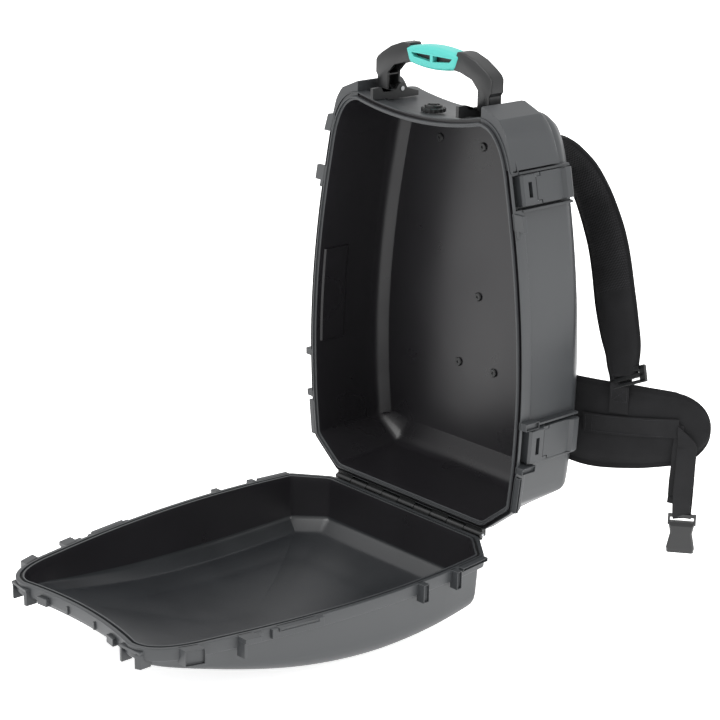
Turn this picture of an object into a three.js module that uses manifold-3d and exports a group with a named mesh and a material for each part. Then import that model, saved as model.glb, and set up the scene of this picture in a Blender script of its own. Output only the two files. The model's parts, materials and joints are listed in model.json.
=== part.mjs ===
// A hard shell backpack, shown open: the shell stands upright, the lid lies level in front of it.
// Millimetres. X is to the right seen from the open side, Y towards the wearer, Z up.
// The origin is where the back pad meets the wearer. Most shapes are worked out about the lid
// hinge and then moved there together, so "hinge frame" below means: hinge along X at y = z = 0.

import * as THREE from 'three';
import { mergeVertices } from 'three/addons/utils/BufferGeometryUtils.js';
import Module from 'manifold-3d';

const wasm = await Module();
wasm.setup();

// Case, shared by both halves
const caseHeight = 530;        // rim outline, lower edge to upper corners
const caseHalfWidth = 200.3;   // rim outline at its widest
const bottomHalfWidth = 141.9; // flat lower edge
const chamferRise = 38.5;      // lower corners
const cornerReach = 40.3;      // upper corners, where the round meets the top edge
const topBow = 12.6;           // how far the top edge dips in the middle
const rimReach = 6.6;          // hinge axis to the rim of either half
const wall = 4;                // moulded wall
const clearance = 0.3;         // between pieces that touch
const rimGap = 0.2;            // rim face to the closing plane, each half
const flangeStep = 8;          // how far the rim stands proud of the walls
const flangeDepth = 17;        // rim band along the walls
const rimLand = 11;            // width of the rim face
const tongueInset = 6;         // outline to the tongue's outer side
const tongueWidth = 1.8;
const tongueHeight = 2.7;
const grooveDepth = 3.6;
const grooveSlack = 0.8;       // each side of the tongue

// Shell
const shellDepth = 126;
const bevelDepth = 21;         // slanted stretch between side walls and back wall
const bevelInset = 16;
const bottomRise = 8;          // the bottom wall climbs towards the back
const bottomBevelInset = 34;
const topStep = 2;             // top wall below the rim's edge
const shoulderInner = 112;     // raised shoulders beside the handle
const shoulderOuter = 167;
const shoulderHeight = 20;     // above the rim's upper edge
const shoulderLength = 87;

// Lid
const lidDepth = 101;
const lidWall = 5;

// Hinge
const hingeHalfLength = 141;
const knuckleCount = 9;
const knuckleRadius = 4.5;
const knuckleGap = 0.4;
const pinRadius = 2;

// Handle
const handleHalfWidth = 104;
const handleArmWidth = 23;
const handleThickness = 23;
const handleHeight = 66;       // grip top above the fold axis
const handleY = 36.5;          // middle of its thickness, from the rim plane
const foldY = 46;
const foldRise = 11;           // fold axis above the rim's upper corners
const foldZ = caseHeight + foldRise;
const foldPinRadius = 3;
const gripHalfTop = 48;
const gripHalfBottom = 39;
const gripDepth = 29;
const gripCore = 11;           // height of the bar inside the grip
const ribThickness = 4.8;
const valveRadius = 16;
const valveHeight = 5.6;
const valveY = 30;

// Latches
const latchFront = 13;         // from the rim plane
const latchRear = 103;
const latchBlockDepth = 26;
const latchBaseThickness = 3;
const leverThickness = 7;
const leverPinRadius = 1.6;
const latchBlockHeight = 14;   // how far the block stands off the wall
const upperLatchDrop = 84.27;  // rim's upper corners down to the middle of the upper latches
const upperLugTop = 37.1;      // and to the lug above them
const upperLugBottom = 59.9;

// Harness
const padThickness = 22;
const padHalfWidth = 112;
const padBottom = 0.383 * caseHeight; // above the hinge axis
const padTop = 0.883 * caseHeight;
const strapRootDrop = 46;      // rim's upper corners down to where the straps leave the back
const strapWidth = 58;
const strapThickness = 15;
const strapHalfSpread = 82;    // middle of each strap where it leaves the back
const webbingWidth = 25;
const webbingThickness = 1.6;
const beltThickness = 13;
const beltHeight = 110;
const buckleWidth = 36;
const buckleThickness = 11;
const buckleLength = 42;
const screwRadius = 6;
const screwHeight = 2.4;

const originHeight = 300;
const originBack = shellDepth + clearance + padThickness;

const plastic = { color: 0x3a3c3e, roughness: 0.45, metalness: 0 };
const blackPlastic = { color: 0x1b1c1d, roughness: 0.5, metalness: 0 };
const turquoise = { color: 0x3fc9bd, roughness: 0.4, metalness: 0 };
const steel = { color: 0x8d9092, roughness: 0.35, metalness: 1 };
const rubber = { color: 0x101010, roughness: 0.8, metalness: 0 };
const fabric = { color: 0x191a1b, roughness: 0.95, metalness: 0 };

const point = (x, y, z) => new THREE.Vector3(x, y, z);

// Solids

function closed(positions, indices) {
  const geometry = new THREE.BufferGeometry();
  geometry.setAttribute('position', new THREE.Float32BufferAttribute(positions.flatMap(p => p.toArray()), 3));
  let volume = 0;
  for (let i = 0; i < indices.length; i += 3) {
    const [a, b, c] = [0, 1, 2].map(k => positions[indices[i + k]]);
    volume += a.dot(b.clone().cross(c));
  }
  geometry.setIndex(volume < 0 ? indices.slice().reverse() : indices);
  return geometry;
}

// Rings of equal length joined one after another. The first and last are closed by a fan.
function loft(rings) {
  const count = rings[0].length;
  const positions = rings.flat();
  const indices = [];
  for (let r = 0; r + 1 < rings.length; r++) {
    for (let i = 0; i < count; i++) {
      const a = r * count + i;
      const b = r * count + (i + 1) % count;
      indices.push(a, b, b + count, a, b + count, a + count);
    }
  }
  for (const [ring, start, turn] of [[rings[0], 0, 1], [rings.at(-1), (rings.length - 1) * count, 0]]) {
    const middle = ring.reduce((sum, p) => sum.add(p), point(0, 0, 0)).divideScalar(count);
    positions.push(middle);
    for (let i = 0; i < count; i++) {
      const a = start + i;
      const b = start + (i + 1) % count;
      indices.push(positions.length - 1, turn ? b : a, turn ? a : b);
    }
  }
  return closed(positions, indices);
}

function solid(geometry) {
  const bare = geometry.clone();
  bare.deleteAttribute('normal');
  bare.deleteAttribute('uv');
  const merged = mergeVertices(bare, 1e-4);
  const vertProperties = new Float32Array(merged.attributes.position.array);
  const triVerts = new Uint32Array(merged.index.array);
  return new wasm.Manifold(new wasm.Mesh({ numProp: 3, vertProperties, triVerts }));
}

function geometryOf(body) {
  const mesh = body.getMesh();
  const geometry = new THREE.BufferGeometry();
  geometry.setAttribute('position', new THREE.Float32BufferAttribute(mesh.vertProperties, 3));
  geometry.setIndex(Array.from(mesh.triVerts));
  return geometry;
}

const joined = bodies => bodies.reduce((sum, body) => sum.add(body));
const cutBy = (body, tools) => tools.reduce((rest, tool) => rest.subtract(tool), body);

function box(x0, x1, y0, y1, z0, z1) {
  const geometry = new THREE.BoxGeometry(x1 - x0, y1 - y0, z1 - z0);
  return geometry.translate((x0 + x1) / 2, (y0 + y1) / 2, (z0 + z1) / 2);
}

// A round bar along X.
function bar(x0, x1, y, z, radius, sides = 14) {
  const geometry = new THREE.CylinderGeometry(radius, radius, x1 - x0, sides);
  return geometry.rotateZ(Math.PI / 2).translate((x0 + x1) / 2, y, z);
}

// A plate in the YZ plane, from a list of [y, z].
function plateYZ(outline, x0, x1) {
  return loft([x0, x1].map(x => outline.map(([y, z]) => point(x, y, z))));
}

// A plate in the XZ plane with bevelled edges, from a list of [x, z].
function plateXZ(outline, y0, y1, bevel) {
  const shape = outline.map(([x, z]) => new THREE.Vector2(x, z));
  const levels = bevel ? [[y0, bevel], [y0 + bevel, 0], [y1 - bevel, 0], [y1, bevel]] : [[y0, 0], [y1, 0]];
  return loft(levels.map(([y, inset]) => inward(shape, () => inset).map(p => point(p.x, y, p.y))));
}

function mirrored(geometry) {
  const copy = geometry.clone().scale(-1, 1, 1);
  copy.setIndex(Array.from(copy.index.array).reverse());
  return copy;
}

// A strip through rows of { at, wide, thick, across }, as wide as it says along "across".
function ribbon(rows, corner = 0.35) {
  const rings = rows.map((row, i) => {
    const before = rows[Math.max(i - 1, 0)].at;
    const after = rows[Math.min(i + 1, rows.length - 1)].at;
    const along = after.clone().sub(before).normalize();
    const across = row.across.clone().addScaledVector(along, -along.dot(row.across)).normalize();
    const up = along.clone().cross(across);
    const [w, t] = [row.wide / 2, row.thick / 2];
    const c = Math.min(w, t) * 2 * corner;
    const section = [[w - c, -t], [w, c - t], [w, t - c], [w - c, t], [c - w, t], [-w, t - c], [-w, c - t], [c - w, -t]];
    return section.map(([u, v]) => row.at.clone().addScaledVector(across, u).addScaledVector(up, v));
  });
  return loft(rings);
}

// Rim outline

// Moves each corner of an outline inwards. "amount" gives the distance for an outward direction.
function inward(outline, amount) {
  return outline.map((p, i) => {
    const before = outline[(i + outline.length - 1) % outline.length];
    const after = outline[(i + 1) % outline.length];
    const a = p.clone().sub(before).normalize();
    const b = after.clone().sub(p).normalize();
    const out = new THREE.Vector2(a.y + b.y, -a.x - b.x).normalize();
    const stretch = 1 / Math.max(out.dot(new THREE.Vector2(a.y, -a.x)), 0.5);
    return p.clone().addScaledVector(out, -amount(out) * stretch);
  });
}

const side = new THREE.SplineCurve([
  new THREE.Vector2(0.949 * caseHalfWidth, chamferRise),
  new THREE.Vector2(0.985 * caseHalfWidth, 0.2 * caseHeight),
  new THREE.Vector2(caseHalfWidth, 0.35 * caseHeight),
  new THREE.Vector2(0.985 * caseHalfWidth, 0.49 * caseHeight),
  new THREE.Vector2(0.949 * caseHalfWidth, 0.62 * caseHeight),
  new THREE.Vector2(0.899 * caseHalfWidth, 0.74 * caseHeight),
  new THREE.Vector2(0.825 * caseHalfWidth, 0.88 * caseHeight),
]);
const cornerX = 0.749 * caseHalfWidth;
const bowX = cornerX - cornerReach;
const corner = new THREE.QuadraticBezierCurve(
  new THREE.Vector2(0.825 * caseHalfWidth, 0.88 * caseHeight),
  new THREE.Vector2(cornerX, caseHeight),
  new THREE.Vector2(bowX, caseHeight),
);
const bow = new THREE.QuadraticBezierCurve(
  new THREE.Vector2(bowX, caseHeight),
  new THREE.Vector2(bowX / 2, caseHeight - topBow),
  new THREE.Vector2(0, caseHeight - topBow),
);
const rightHalf = [
  new THREE.Vector2(bottomHalfWidth, 0),
  ...side.getPoints(11),
  ...corner.getPoints(5).slice(1),
  ...bow.getPoints(4).slice(1),
];
const leftHalf = rightHalf.slice(0, -1).reverse().map(p => new THREE.Vector2(-p.x, p.y));
const rimOutline = [...rightHalf, ...leftHalf];

// Half width of the rim outline at a height above its lower edge.
function halfWidthAt(s) {
  for (let i = 0; i + 1 < rightHalf.length; i++) {
    const [a, b] = [rightHalf[i], rightHalf[i + 1]];
    if (s >= a.y && s <= b.y && b.y > a.y) {
      return THREE.MathUtils.lerp(a.x, b.x, (s - a.y) / (b.y - a.y));
    }
  }
  return bowX;
}

// Height of the rim's upper edge above the hinge axis.
const rimTopAt = x => rimReach + caseHeight - topBow * (1 - (x / bowX) ** 2);

// Both halves are described alike: x across, s up the outline, d away from the closing plane.
const inShell = (x, s, d) => point(x, d, s + rimReach);
const inLid = (x, s, d) => point(x, -s - rimReach, -d);

// An inset that differs at the bottom and the top edge of the outline.
function byEdge(sides, bottom, top) {
  return out => sides + (bottom - sides) * Math.max(0, -out.y) ** 2 + (top - sides) * Math.max(0, out.y) ** 2;
}

function ringAt(place, inset, depthOf) {
  return inward(rimOutline, inset).map(p => place(p.x, p.y, depthOf(p.y)));
}

// A closed band that follows the rim, for the tongue, the groove and the seal.
function rimBand(place, inset, width, d0, d1) {
  const outer = loft([d0, d1].map(d => ringAt(place, () => inset, () => d)));
  const inner = loft([d0 - 1, d1 + 1].map(d => ringAt(place, () => inset + width, () => d)));
  return solid(outer).subtract(solid(inner));
}

// A block on the side of the rim between two heights, from "inset" inside it to "reach" outside.
function rimBlock(place, sign, s0, s1, inset, reach, d0, d1) {
  const corners = [[s0, -inset], [s0, reach], [s1, reach], [s1, -inset]];
  return solid(loft([d0, d1].map(d => corners.map(([s, r]) => place(sign * (halfWidthAt(s) + r), s, d)))));
}

// Lugs and tabs that stand on the sides of both rims. from and to are shares of caseHeight.
const rimLugs = [
  { name: 'upper_box', from: 1 - upperLugBottom / caseHeight, to: 1 - upperLugTop / caseHeight, reach: 12, depth: 20, hole: 0 },
  { name: 'padlock', from: 0.758, to: 0.796, reach: 15, depth: 6, hole: 5 },
  { name: 'long_tab', from: 0.6, to: 0.702, reach: 7, depth: 5, hole: 0 },
  { name: 'over_lower_latch', from: 0.287, to: 0.305, reach: 10, depth: 18, hole: 0 },
  { name: 'under_lower_latch', from: 0.176, to: 0.193, reach: 10, depth: 18, hole: 0 },
  { name: 'low_tab', from: 0.075, to: 0.166, reach: 7, depth: 5, hole: 0 },
];

function lugs(place) {
  const parts = [];
  const holes = [];
  for (const lug of rimLugs) {
    const [s0, s1] = [lug.from * caseHeight, lug.to * caseHeight];
    for (const sign of [-1, 1]) {
      parts.push(rimBlock(place, sign, s0, s1, tongueInset / 2, lug.reach, rimGap, lug.depth));
      if (lug.hole) {
        const middle = (s0 + s1) / 2;
        const x = sign * (halfWidthAt(middle) + lug.reach - lug.hole);
        const [low, high] = [rimGap - 1, lug.depth + 1];
        const ring = d => Array.from({ length: 12 }, (_, i) => {
          const angle = i / 12 * Math.PI * 2;
          return place(x + Math.cos(angle) * lug.hole / 2, middle + Math.sin(angle) * lug.hole / 2, d);
        });
        holes.push(solid(loft([ring(low), ring(high)])));
      }
    }
  }
  return { parts, holes };
}

// Hinge knuckles of one half, as [x0, x1] pairs: the shell has the odd ones, the lid the even.
function knuckleSpans(first) {
  const pitch = 2 * hingeHalfLength / knuckleCount;
  const spans = [];
  for (let i = first; i < knuckleCount; i += 2) {
    const x0 = -hingeHalfLength + i * pitch;
    spans.push([x0 + knuckleGap / 2, x0 + pitch - knuckleGap / 2]);
  }
  return spans;
}

const hingeBore = () => solid(bar(-hingeHalfLength - 5, hingeHalfLength + 5, 0, 0, pinRadius + clearance, 12));

// Shell

// Sections from rim to back: share of the depth behind the rim band, and insets in millimetres.
function shellSections() {
  const bevelStart = shellDepth - bevelDepth;
  return [
    { d: rimGap, inset: byEdge(0, 0, 0) },
    { d: flangeDepth, inset: byEdge(0, 0, 0) },
    { d: flangeDepth + 1.5, inset: byEdge(flangeStep, flangeStep, topStep) },
    { d: bevelStart, inset: byEdge(flangeStep, flangeStep + bottomRise, topStep * 2) },
    { d: shellDepth, inset: byEdge(flangeStep + bevelInset, flangeStep + bottomRise + bottomBevelInset, bevelInset + topStep) },
  ];
}

function shellCavity() {
  const bevelStart = shellDepth - bevelDepth;
  const sections = [
    { d: -tongueHeight - 1, inset: byEdge(rimLand, rimLand, rimLand) },
    { d: flangeDepth, inset: byEdge(rimLand + 1, rimLand + 1, rimLand) },
    { d: bevelStart + wall / 2, inset: byEdge(flangeStep + wall, flangeStep + bottomRise + wall, topStep * 2 + wall + 2) },
    {
      d: shellDepth - wall,
      inset: byEdge(flangeStep + bevelInset + wall / 2, flangeStep + bottomRise + bottomBevelInset + wall, bevelInset + topStep + wall),
    },
  ];
  return solid(loft(sections.map(row => ringAt(inShell, row.inset, () => row.d))));
}

// The raised shoulders over the upper corners. x and z run as shares between the named sizes.
function shoulder(sign) {
  const base = caseHeight + rimReach;
  const outline = [
    { across: 0, up: -0.9 },
    { across: 0, up: 0.68 },
    { across: 0.56, up: 0.05 },
    { across: 0.84, up: -1.45 },
    { across: 1, up: -2.9 },
    { across: 0.8, up: -3.1 },
    { across: 0.4, up: -1.9 },
  ];
  const at = (row, y, drop) => {
    const x = THREE.MathUtils.lerp(shoulderInner, shoulderOuter, row.across);
    const z = base + row.up * shoulderHeight - (row.up > 0 ? drop : 0);
    return point(sign * x, y, z);
  };
  const levels = [[rimGap, 0], [shoulderLength * 0.84, 0], [shoulderLength, shoulderHeight / 2]];
  return solid(loft(levels.map(([y, drop]) => outline.map(row => at(row, y, drop)))));
}

function shellBody() {
  const outer = solid(loft(shellSections().map(row => ringAt(inShell, row.inset, () => row.d))));
  const tongue = rimBand(inShell, tongueInset, tongueWidth, -tongueHeight, rimGap + 1);
  const { parts, holes } = lugs(inShell);
  for (const latch of latches) {
    for (const edge of [-1, 1]) {
      const s = latch.at * caseHeight + edge * (latch.height / 2 + 3.5);
      for (const sign of [-1, 1]) {
        const depth = [flangeDepth - 1, latchRear + 2];
        parts.push(rimBlock(inShell, sign, s - 1.6, s + 1.6, flangeStep + wall / 2, 1, ...depth));
      }
    }
  }
  const leaves = knuckleSpans(0).map(([x0, x1]) => {
    const leaf = solid(box(x0, x1, rimGap, knuckleRadius, 0, rimReach + 2));
    return solid(bar(x0, x1, 0, 0, knuckleRadius, 12)).add(leaf);
  });
  const seatTop = rimTopAt(valveRadius);
  const seat = new THREE.CylinderGeometry(valveRadius - 2, valveRadius - 2, wall * 2, 18).rotateX(Math.PI / 2);
  parts.push(solid(seat.translate(0, valveY, seatTop - wall)));
  const full = joined([outer, shoulder(-1), shoulder(1), ...parts]);
  const openings = [...holes, hingeBore(), ...screwHoles(), ...handleRelief(), ...latchPockets()];
  return geometryOf(cutBy(joined([full.subtract(shellCavity()), tongue, ...leaves]), openings));
}

// The rim band is cut away behind its edge where a latch stands.
function latchPockets() {
  return latches.flatMap(latch => [-1, 1].map(sign => {
    const s = latch.at * caseHeight;
    const half = latch.height / 2 + 1.5;
    return rimBlock(inShell, sign, s - half, s + half, flangeStep, 5, wall, flangeDepth + 2);
  }));
}

// Room under the handle's arms beside the shoulders.
function handleRelief() {
  const arm = handleHalfWidth - handleArmWidth;
  const z = foldZ - foldPinRadius - 3;
  return [-1, 1].map(sign => {
    const [x0, x1] = [sign * (arm - 2), sign * (handleHalfWidth + 3)].sort((a, b) => a - b);
    return solid(box(x0, x1, flangeDepth + 2, foldY + 20, z, z + 40));
  });
}

// Screws that hold the harness, as shares of the rim outline's height and half width.
const screws = [
  { name: 'low_left', across: -0.165, up: 0.302 },
  { name: 'low_right', across: 0.165, up: 0.302 },
  { name: 'middle', across: 0, up: 0.487 },
  { name: 'top_left', across: -0.4, up: 0.868 },
  { name: 'top_middle', across: 0, up: 0.868 },
  { name: 'top_right', across: 0.4, up: 0.868 },
];
const screwAt = row => [row.across * caseHalfWidth, row.up * caseHeight + rimReach];

function screwHoles() {
  return screws.map(row => {
    const [x, z] = screwAt(row);
    const hole = new THREE.CylinderGeometry(screwRadius / 2 + clearance, screwRadius / 2 + clearance, wall * 4, 12);
    return solid(hole.translate(x, shellDepth, z));
  });
}

function backScrew(row) {
  const [x, z] = screwAt(row);
  const headY = shellDepth - wall - clearance;
  const profile = [
    [0, headY - screwHeight],
    [screwRadius - 1, headY - screwHeight],
    [screwRadius, headY - screwHeight / 2],
    [screwRadius, headY],
    [screwRadius / 2, headY],
    [screwRadius / 2, shellDepth - clearance],
    [0, shellDepth - clearance],
  ].map(([r, y]) => new THREE.Vector2(r, y));
  const geometry = new THREE.LatheGeometry(profile, 14);
  const socket = new THREE.CylinderGeometry(screwRadius / 3, screwRadius / 3, screwHeight, 6);
  const head = solid(geometry).subtract(solid(socket.translate(0, headY - screwHeight, 0)));
  return geometryOf(head).translate(x, 0, z);
}

// Lid

// How deep the lid hangs, along its length from the hinge: shares of caseHeight and lidDepth.
const belly = [
  { along: 0, deep: 0.85 },
  { along: 0.14, deep: 0.945 },
  { along: 0.27, deep: 1 },
  { along: 0.4, deep: 1 },
  { along: 0.52, deep: 0.945 },
  { along: 0.64, deep: 0.835 },
  { along: 0.78, deep: 0.635 },
  { along: 0.92, deep: 0.38 },
  { along: 1.01, deep: 0.24 },
];

function bellyAt(s) {
  const along = THREE.MathUtils.clamp(s / caseHeight, 0, 1);
  const next = belly.findIndex((row, i) => i > 0 && row.along >= along);
  const [a, b] = [belly[next - 1], belly[next]];
  return lidDepth * THREE.MathUtils.lerp(a.deep, b.deep, (along - a.along) / (b.along - a.along));
}

// From the rim band to the middle: "deep" is a share of the depth below the band, "shrink" draws
// the ring towards the lid's middle.
const lidBands = [
  { deep: 0.655, inset: 2, shrink: 1 },
  { deep: 0.83, inset: 20, shrink: 1 },
  { deep: 0.92, inset: 20, shrink: 0.77 },
  { deep: 0.975, inset: 20, shrink: 0.5 },
  { deep: 1, inset: 20, shrink: 0.2 },
];

function lidRings(thinner, extra) {
  return lidBands.map(band => {
    const outline = inward(rimOutline, () => flangeStep + band.inset + extra);
    return outline.map(p => {
      const s = caseHeight / 2 + (p.y - caseHeight / 2) * band.shrink;
      const depth = flangeDepth + band.deep * (bellyAt(s) - flangeDepth);
      return inLid(p.x * band.shrink, s, depth - thinner);
    });
  });
}

function lidBody() {
  const outer = solid(loft([
    ringAt(inLid, () => 0, () => rimGap),
    ringAt(inLid, () => 0, () => flangeDepth - 1.5),
    ringAt(inLid, () => flangeStep - 1, () => flangeDepth),
    ...lidRings(0, 0),
  ]));
  const cavity = solid(loft([
    ringAt(inLid, () => rimLand, () => -1),
    ringAt(inLid, () => rimLand + 0.6, () => flangeDepth - lidWall),
    ...lidRings(lidWall, wall),
  ]));
  const grooveWidth = tongueWidth + 2 * grooveSlack;
  const groove = rimBand(inLid, tongueInset - grooveSlack, grooveWidth, -1, rimGap + grooveDepth);
  const { parts, holes } = lugs(inLid);
  const leaves = knuckleSpans(1).map(([x0, x1]) => {
    const leaf = solid(box(x0, x1, -rimReach - 2, 0, -knuckleRadius, -rimGap));
    return solid(bar(x0, x1, 0, 0, knuckleRadius, 12)).add(leaf);
  });
  const full = joined([outer, ...parts]).subtract(cavity);
  return geometryOf(cutBy(joined([full, ...leaves]), [groove, ...holes, hingeBore()]));
}

function lidSeal() {
  const inset = tongueInset - grooveSlack + clearance;
  const width = tongueWidth + 2 * grooveSlack - 2 * clearance;
  const floor = rimGap + grooveDepth;
  return geometryOf(rimBand(inLid, inset, width, floor - 0.6, floor - clearance / 2));
}

// Handle

function gripOutline(extra) {
  const top = foldZ + handleHeight;
  const [a, b] = [gripHalfBottom, gripHalfTop];
  const outline = [[-a, top - gripDepth], [a, top - gripDepth], [b, top - 7], [b - 7, top], [7 - b, top], [-b, top - 7]];
  return inward(outline.map(([x, z]) => new THREE.Vector2(x, z)), () => -extra).map(p => [p.x, p.y]);
}

function gripCoreBox(extra) {
  const z = foldZ + handleHeight - gripDepth / 2;
  const half = gripCore / 2 + extra;
  return solid(box(-gripHalfTop, gripHalfTop, handleY - half, handleY + half, z - half, z + half));
}

function handleFrame() {
  const [outer, inner] = [handleHalfWidth, handleHalfWidth - handleArmWidth];
  const [top, foot] = [foldZ + handleHeight, foldZ - 4];
  const front = handleY - handleThickness / 2;
  const rear = handleY + handleThickness / 2;
  const right = [
    [outer - 3, foot], [outer - 3, foldZ + 16], [outer, foldZ + 22], [outer, foldZ + 34],
    [outer - 8, foldZ + 42], [gripHalfTop + 6, top - 2], [gripHalfTop - 8, top - 2],
  ];
  const rightInner = [
    [gripHalfBottom - 6, top - gripDepth + 1], [gripHalfBottom + 10, top - gripDepth + 1],
    [inner, foldZ + 22], [inner, foot],
  ];
  const arm = solid(plateXZ([...right, ...rightInner], front, rear, 2));
  const arms = arm.add(solid(mirrored(geometryOf(arm))));
  const room = solid(plateXZ(gripOutline(clearance), front - 5, rear + 5, 0));
  const bores = solid(bar(-outer - 5, outer + 5, foldY, foldZ, foldPinRadius + clearance));
  return geometryOf(arms.subtract(room).add(gripCoreBox(0)).subtract(bores));
}

function handleGrip() {
  const front = handleY - handleThickness / 2;
  const rear = handleY + handleThickness / 2;
  const body = solid(plateXZ(gripOutline(0), front - 1, rear + 1, 4));
  const slotZ = foldZ + handleHeight - 9;
  const slots = [-1, 1].map(sign => {
    const [x0, x1] = [sign * 6, sign * 36].sort((a, b) => a - b);
    return solid(box(x0, x1, front - 3, front + 1.5, slotZ - 3, slotZ + 1));
  });
  return geometryOf(cutBy(body, [gripCoreBox(clearance), ...slots]));
}

// The rib beside each arm, with the ear that carries the fold pin.
function handleRib() {
  const inner = handleHalfWidth - handleArmWidth - 0.9 - ribThickness;
  const foot = rimTopAt(inner + ribThickness) + clearance;
  const low = foot - topStep;
  const outline = [
    [-5, foot + 1], [-5, foot + 15], [9, foot + 15], [13, foot + 9], [foldY - 10, foldZ + 1], [foldY - 6, foldZ + 6],
    [foldY, foldZ + 8], [foldY + 6, foldZ + 6], [foldY + 9, foldZ], [75, low + 6], [75, low],
    [flangeDepth + 3, low], [flangeDepth + 3, foot], [1, foot],
  ];
  const plate = solid(plateYZ(outline, inner, inner + ribThickness));
  const bore = solid(bar(inner - 2, inner + ribThickness + 2, foldY, foldZ, foldPinRadius + clearance));
  return geometryOf(plate.subtract(bore));
}

function foldPin() {
  const inner = handleHalfWidth - handleArmWidth - 0.9 - ribThickness;
  return bar(inner - 1, handleHalfWidth + 1, foldY, foldZ, foldPinRadius);
}

function ventValve() {
  const teeth = 18;
  const rings = [[0, 1], [valveHeight - 1.2, 1], [valveHeight, 0.88]].map(([z, share]) => (
    Array.from({ length: teeth * 2 }, (_, i) => {
      const angle = i / teeth * Math.PI;
      const radius = valveRadius * share - (i % 2) * 1.1;
      return point(Math.cos(angle) * radius, Math.sin(angle) * radius, z);
    })
  ));
  return loft(rings).translate(0, valveY, rimTopAt(valveRadius) + clearance);
}

// Latches

// at is the middle of each latch as a share of caseHeight.
const latches = [
  { name: 'upper', at: 1 - upperLatchDrop / caseHeight, height: 38 },
  { name: 'lower', at: 0.24, height: 45 },
];

// Where a latch sits on the right side wall, and how that wall leans.
function latchSeat(latch) {
  const s = latch.at * caseHeight;
  const half = latch.height / 2;
  const [low, high] = [halfWidthAt(s - half), halfWidthAt(s + half)];
  const lean = Math.atan2(high - low, 2 * half);
  const bulge = Math.max(0, ...[-0.5, 0, 0.5].map(k => halfWidthAt(s + k * half) - (low + high) / 2 - k * (high - low) / 2));
  const x = (low + high) / 2 - flangeStep / Math.cos(lean) + bulge + 1.6 * clearance + 0.2;
  return { x, z: s + rimReach, lean };
}

// In the latch's own frame X points away from the wall, Y towards the back, Z up the wall.
const leverAxis = { x: latchBaseThickness + 2 * clearance + leverThickness / 2, y: latchFront + latchBlockDepth + 5 };
const earTop = leverPinRadius + 2;  // the base's ears beyond the pin's axis, away from the wall
const earRear = 4;                  // and towards the back

function latchBase(latch) {
  const half = latch.height / 2;
  const plate = solid(box(0, latchBaseThickness, latchFront, latchRear - 12, -half, half));
  const block = solid(loft([-half, 1 - half, half - 1, half].map((z, i) => {
    const cut = i % 3 ? 0 : 1.5;
    return [
      [latchBaseThickness - 1, latchFront + cut], [latchBlockHeight - 3, latchFront + cut],
      [latchBlockHeight - cut, latchFront + 3 + cut], [latchBlockHeight - cut, latchFront + latchBlockDepth - 2 - cut],
      [latchBlockHeight - 2 - cut, latchFront + latchBlockDepth - cut], [latchBaseThickness - 1, latchFront + latchBlockDepth - cut],
    ].map(([x, y]) => point(x, y, z));
  })));
  const slot = solid(box(latchBaseThickness + 2, latchBlockHeight + 2, latchFront + 11, latchFront + 17, -half / 2, half / 2));
  const ears = [-1, 1].map(sign => {
    const [z0, z1] = [sign * (half - 4), sign * half].sort((a, b) => a - b);
    return solid(box(0, leverAxis.x + earTop, latchFront + latchBlockDepth - 3, leverAxis.y + earRear, z0, z1));
  });
  const bore = solid(upright(leverAxis.x, leverAxis.y, half + 5, leverPinRadius + clearance));
  return geometryOf(cutBy(joined([plate, block, ...ears]), [slot, bore]));
}

function upright(x, y, half, radius) {
  return new THREE.CylinderGeometry(radius, radius, half * 2, 12).rotateX(Math.PI / 2).translate(x, y, 0);
}

// The lever lies flat behind the block and ends in a raised lip for the finger.
function latchLever(latch) {
  const half = latch.height / 2;
  const x0 = latchBaseThickness + clearance;
  const x1 = x0 + leverThickness;
  const nose = leverAxis.y - leverThickness / 2;
  const profile = [
    [x0 + 2.5, nose], [x1 - 2, nose], [x1, nose + 2], [x1, latchRear - 16], [x1 + 4, latchRear - 12],
    [x1 + 4, latchRear - 3], [x1 + 2, latchRear], [x0 + 3, latchRear], [x0, latchRear - 5], [x0, nose + 3],
  ];
  const at = (z, cut) => profile.map(([x, y]) => {
    return point(Math.min(x, x1 + 4 - cut), Math.min(y, latchRear - cut), z);
  });
  const hub = half - 4 - 2 * clearance;
  const body = solid(loft([at(-half, 1), at(1 - half, 0), at(half - 1, 0), at(half, 1)]));
  const notches = [-1, 1].map(sign => {
    const [z0, z1] = [sign * hub, sign * (half + 2)].sort((a, b) => a - b);
    return solid(box(0, x1 + 6, nose - 2, leverAxis.y + Math.hypot(earTop, earRear) + 2 * clearance, z0, z1));
  });
  const bore = solid(upright(leverAxis.x, leverAxis.y, half + 5, leverPinRadius + clearance));
  return geometryOf(cutBy(body, [...notches, bore]));
}

const latchPin = latch => upright(leverAxis.x, leverAxis.y, latch.height / 2 - 0.5, leverPinRadius);

// Harness

function backPad() {
  const [low, high, r] = [padBottom, padTop, 34];
  const quarter = (cx, cz, from) => [0, 1, 2, 3].map(k => {
    const angle = (from + k * 30) * Math.PI / 180;
    return new THREE.Vector2(cx + Math.cos(angle) * r, cz + Math.sin(angle) * r);
  });
  const w = padHalfWidth - r;
  const outline = [
    ...quarter(w, low + r, -90), ...quarter(w * 0.9, high - r, 0),
    ...quarter(-w * 0.9, high - r, 90), ...quarter(-w, low + r, 180),
  ];
  const y = shellDepth + clearance;
  const levels = [[0, 3], [0.2, 0], [0.75, 1], [1, 8]];
  const rings = levels.map(([share, inset]) => (
    inward(outline, () => inset).map(p => point(p.x, y + share * padThickness, p.y))
  ));
  return loft(rings);
}

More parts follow.
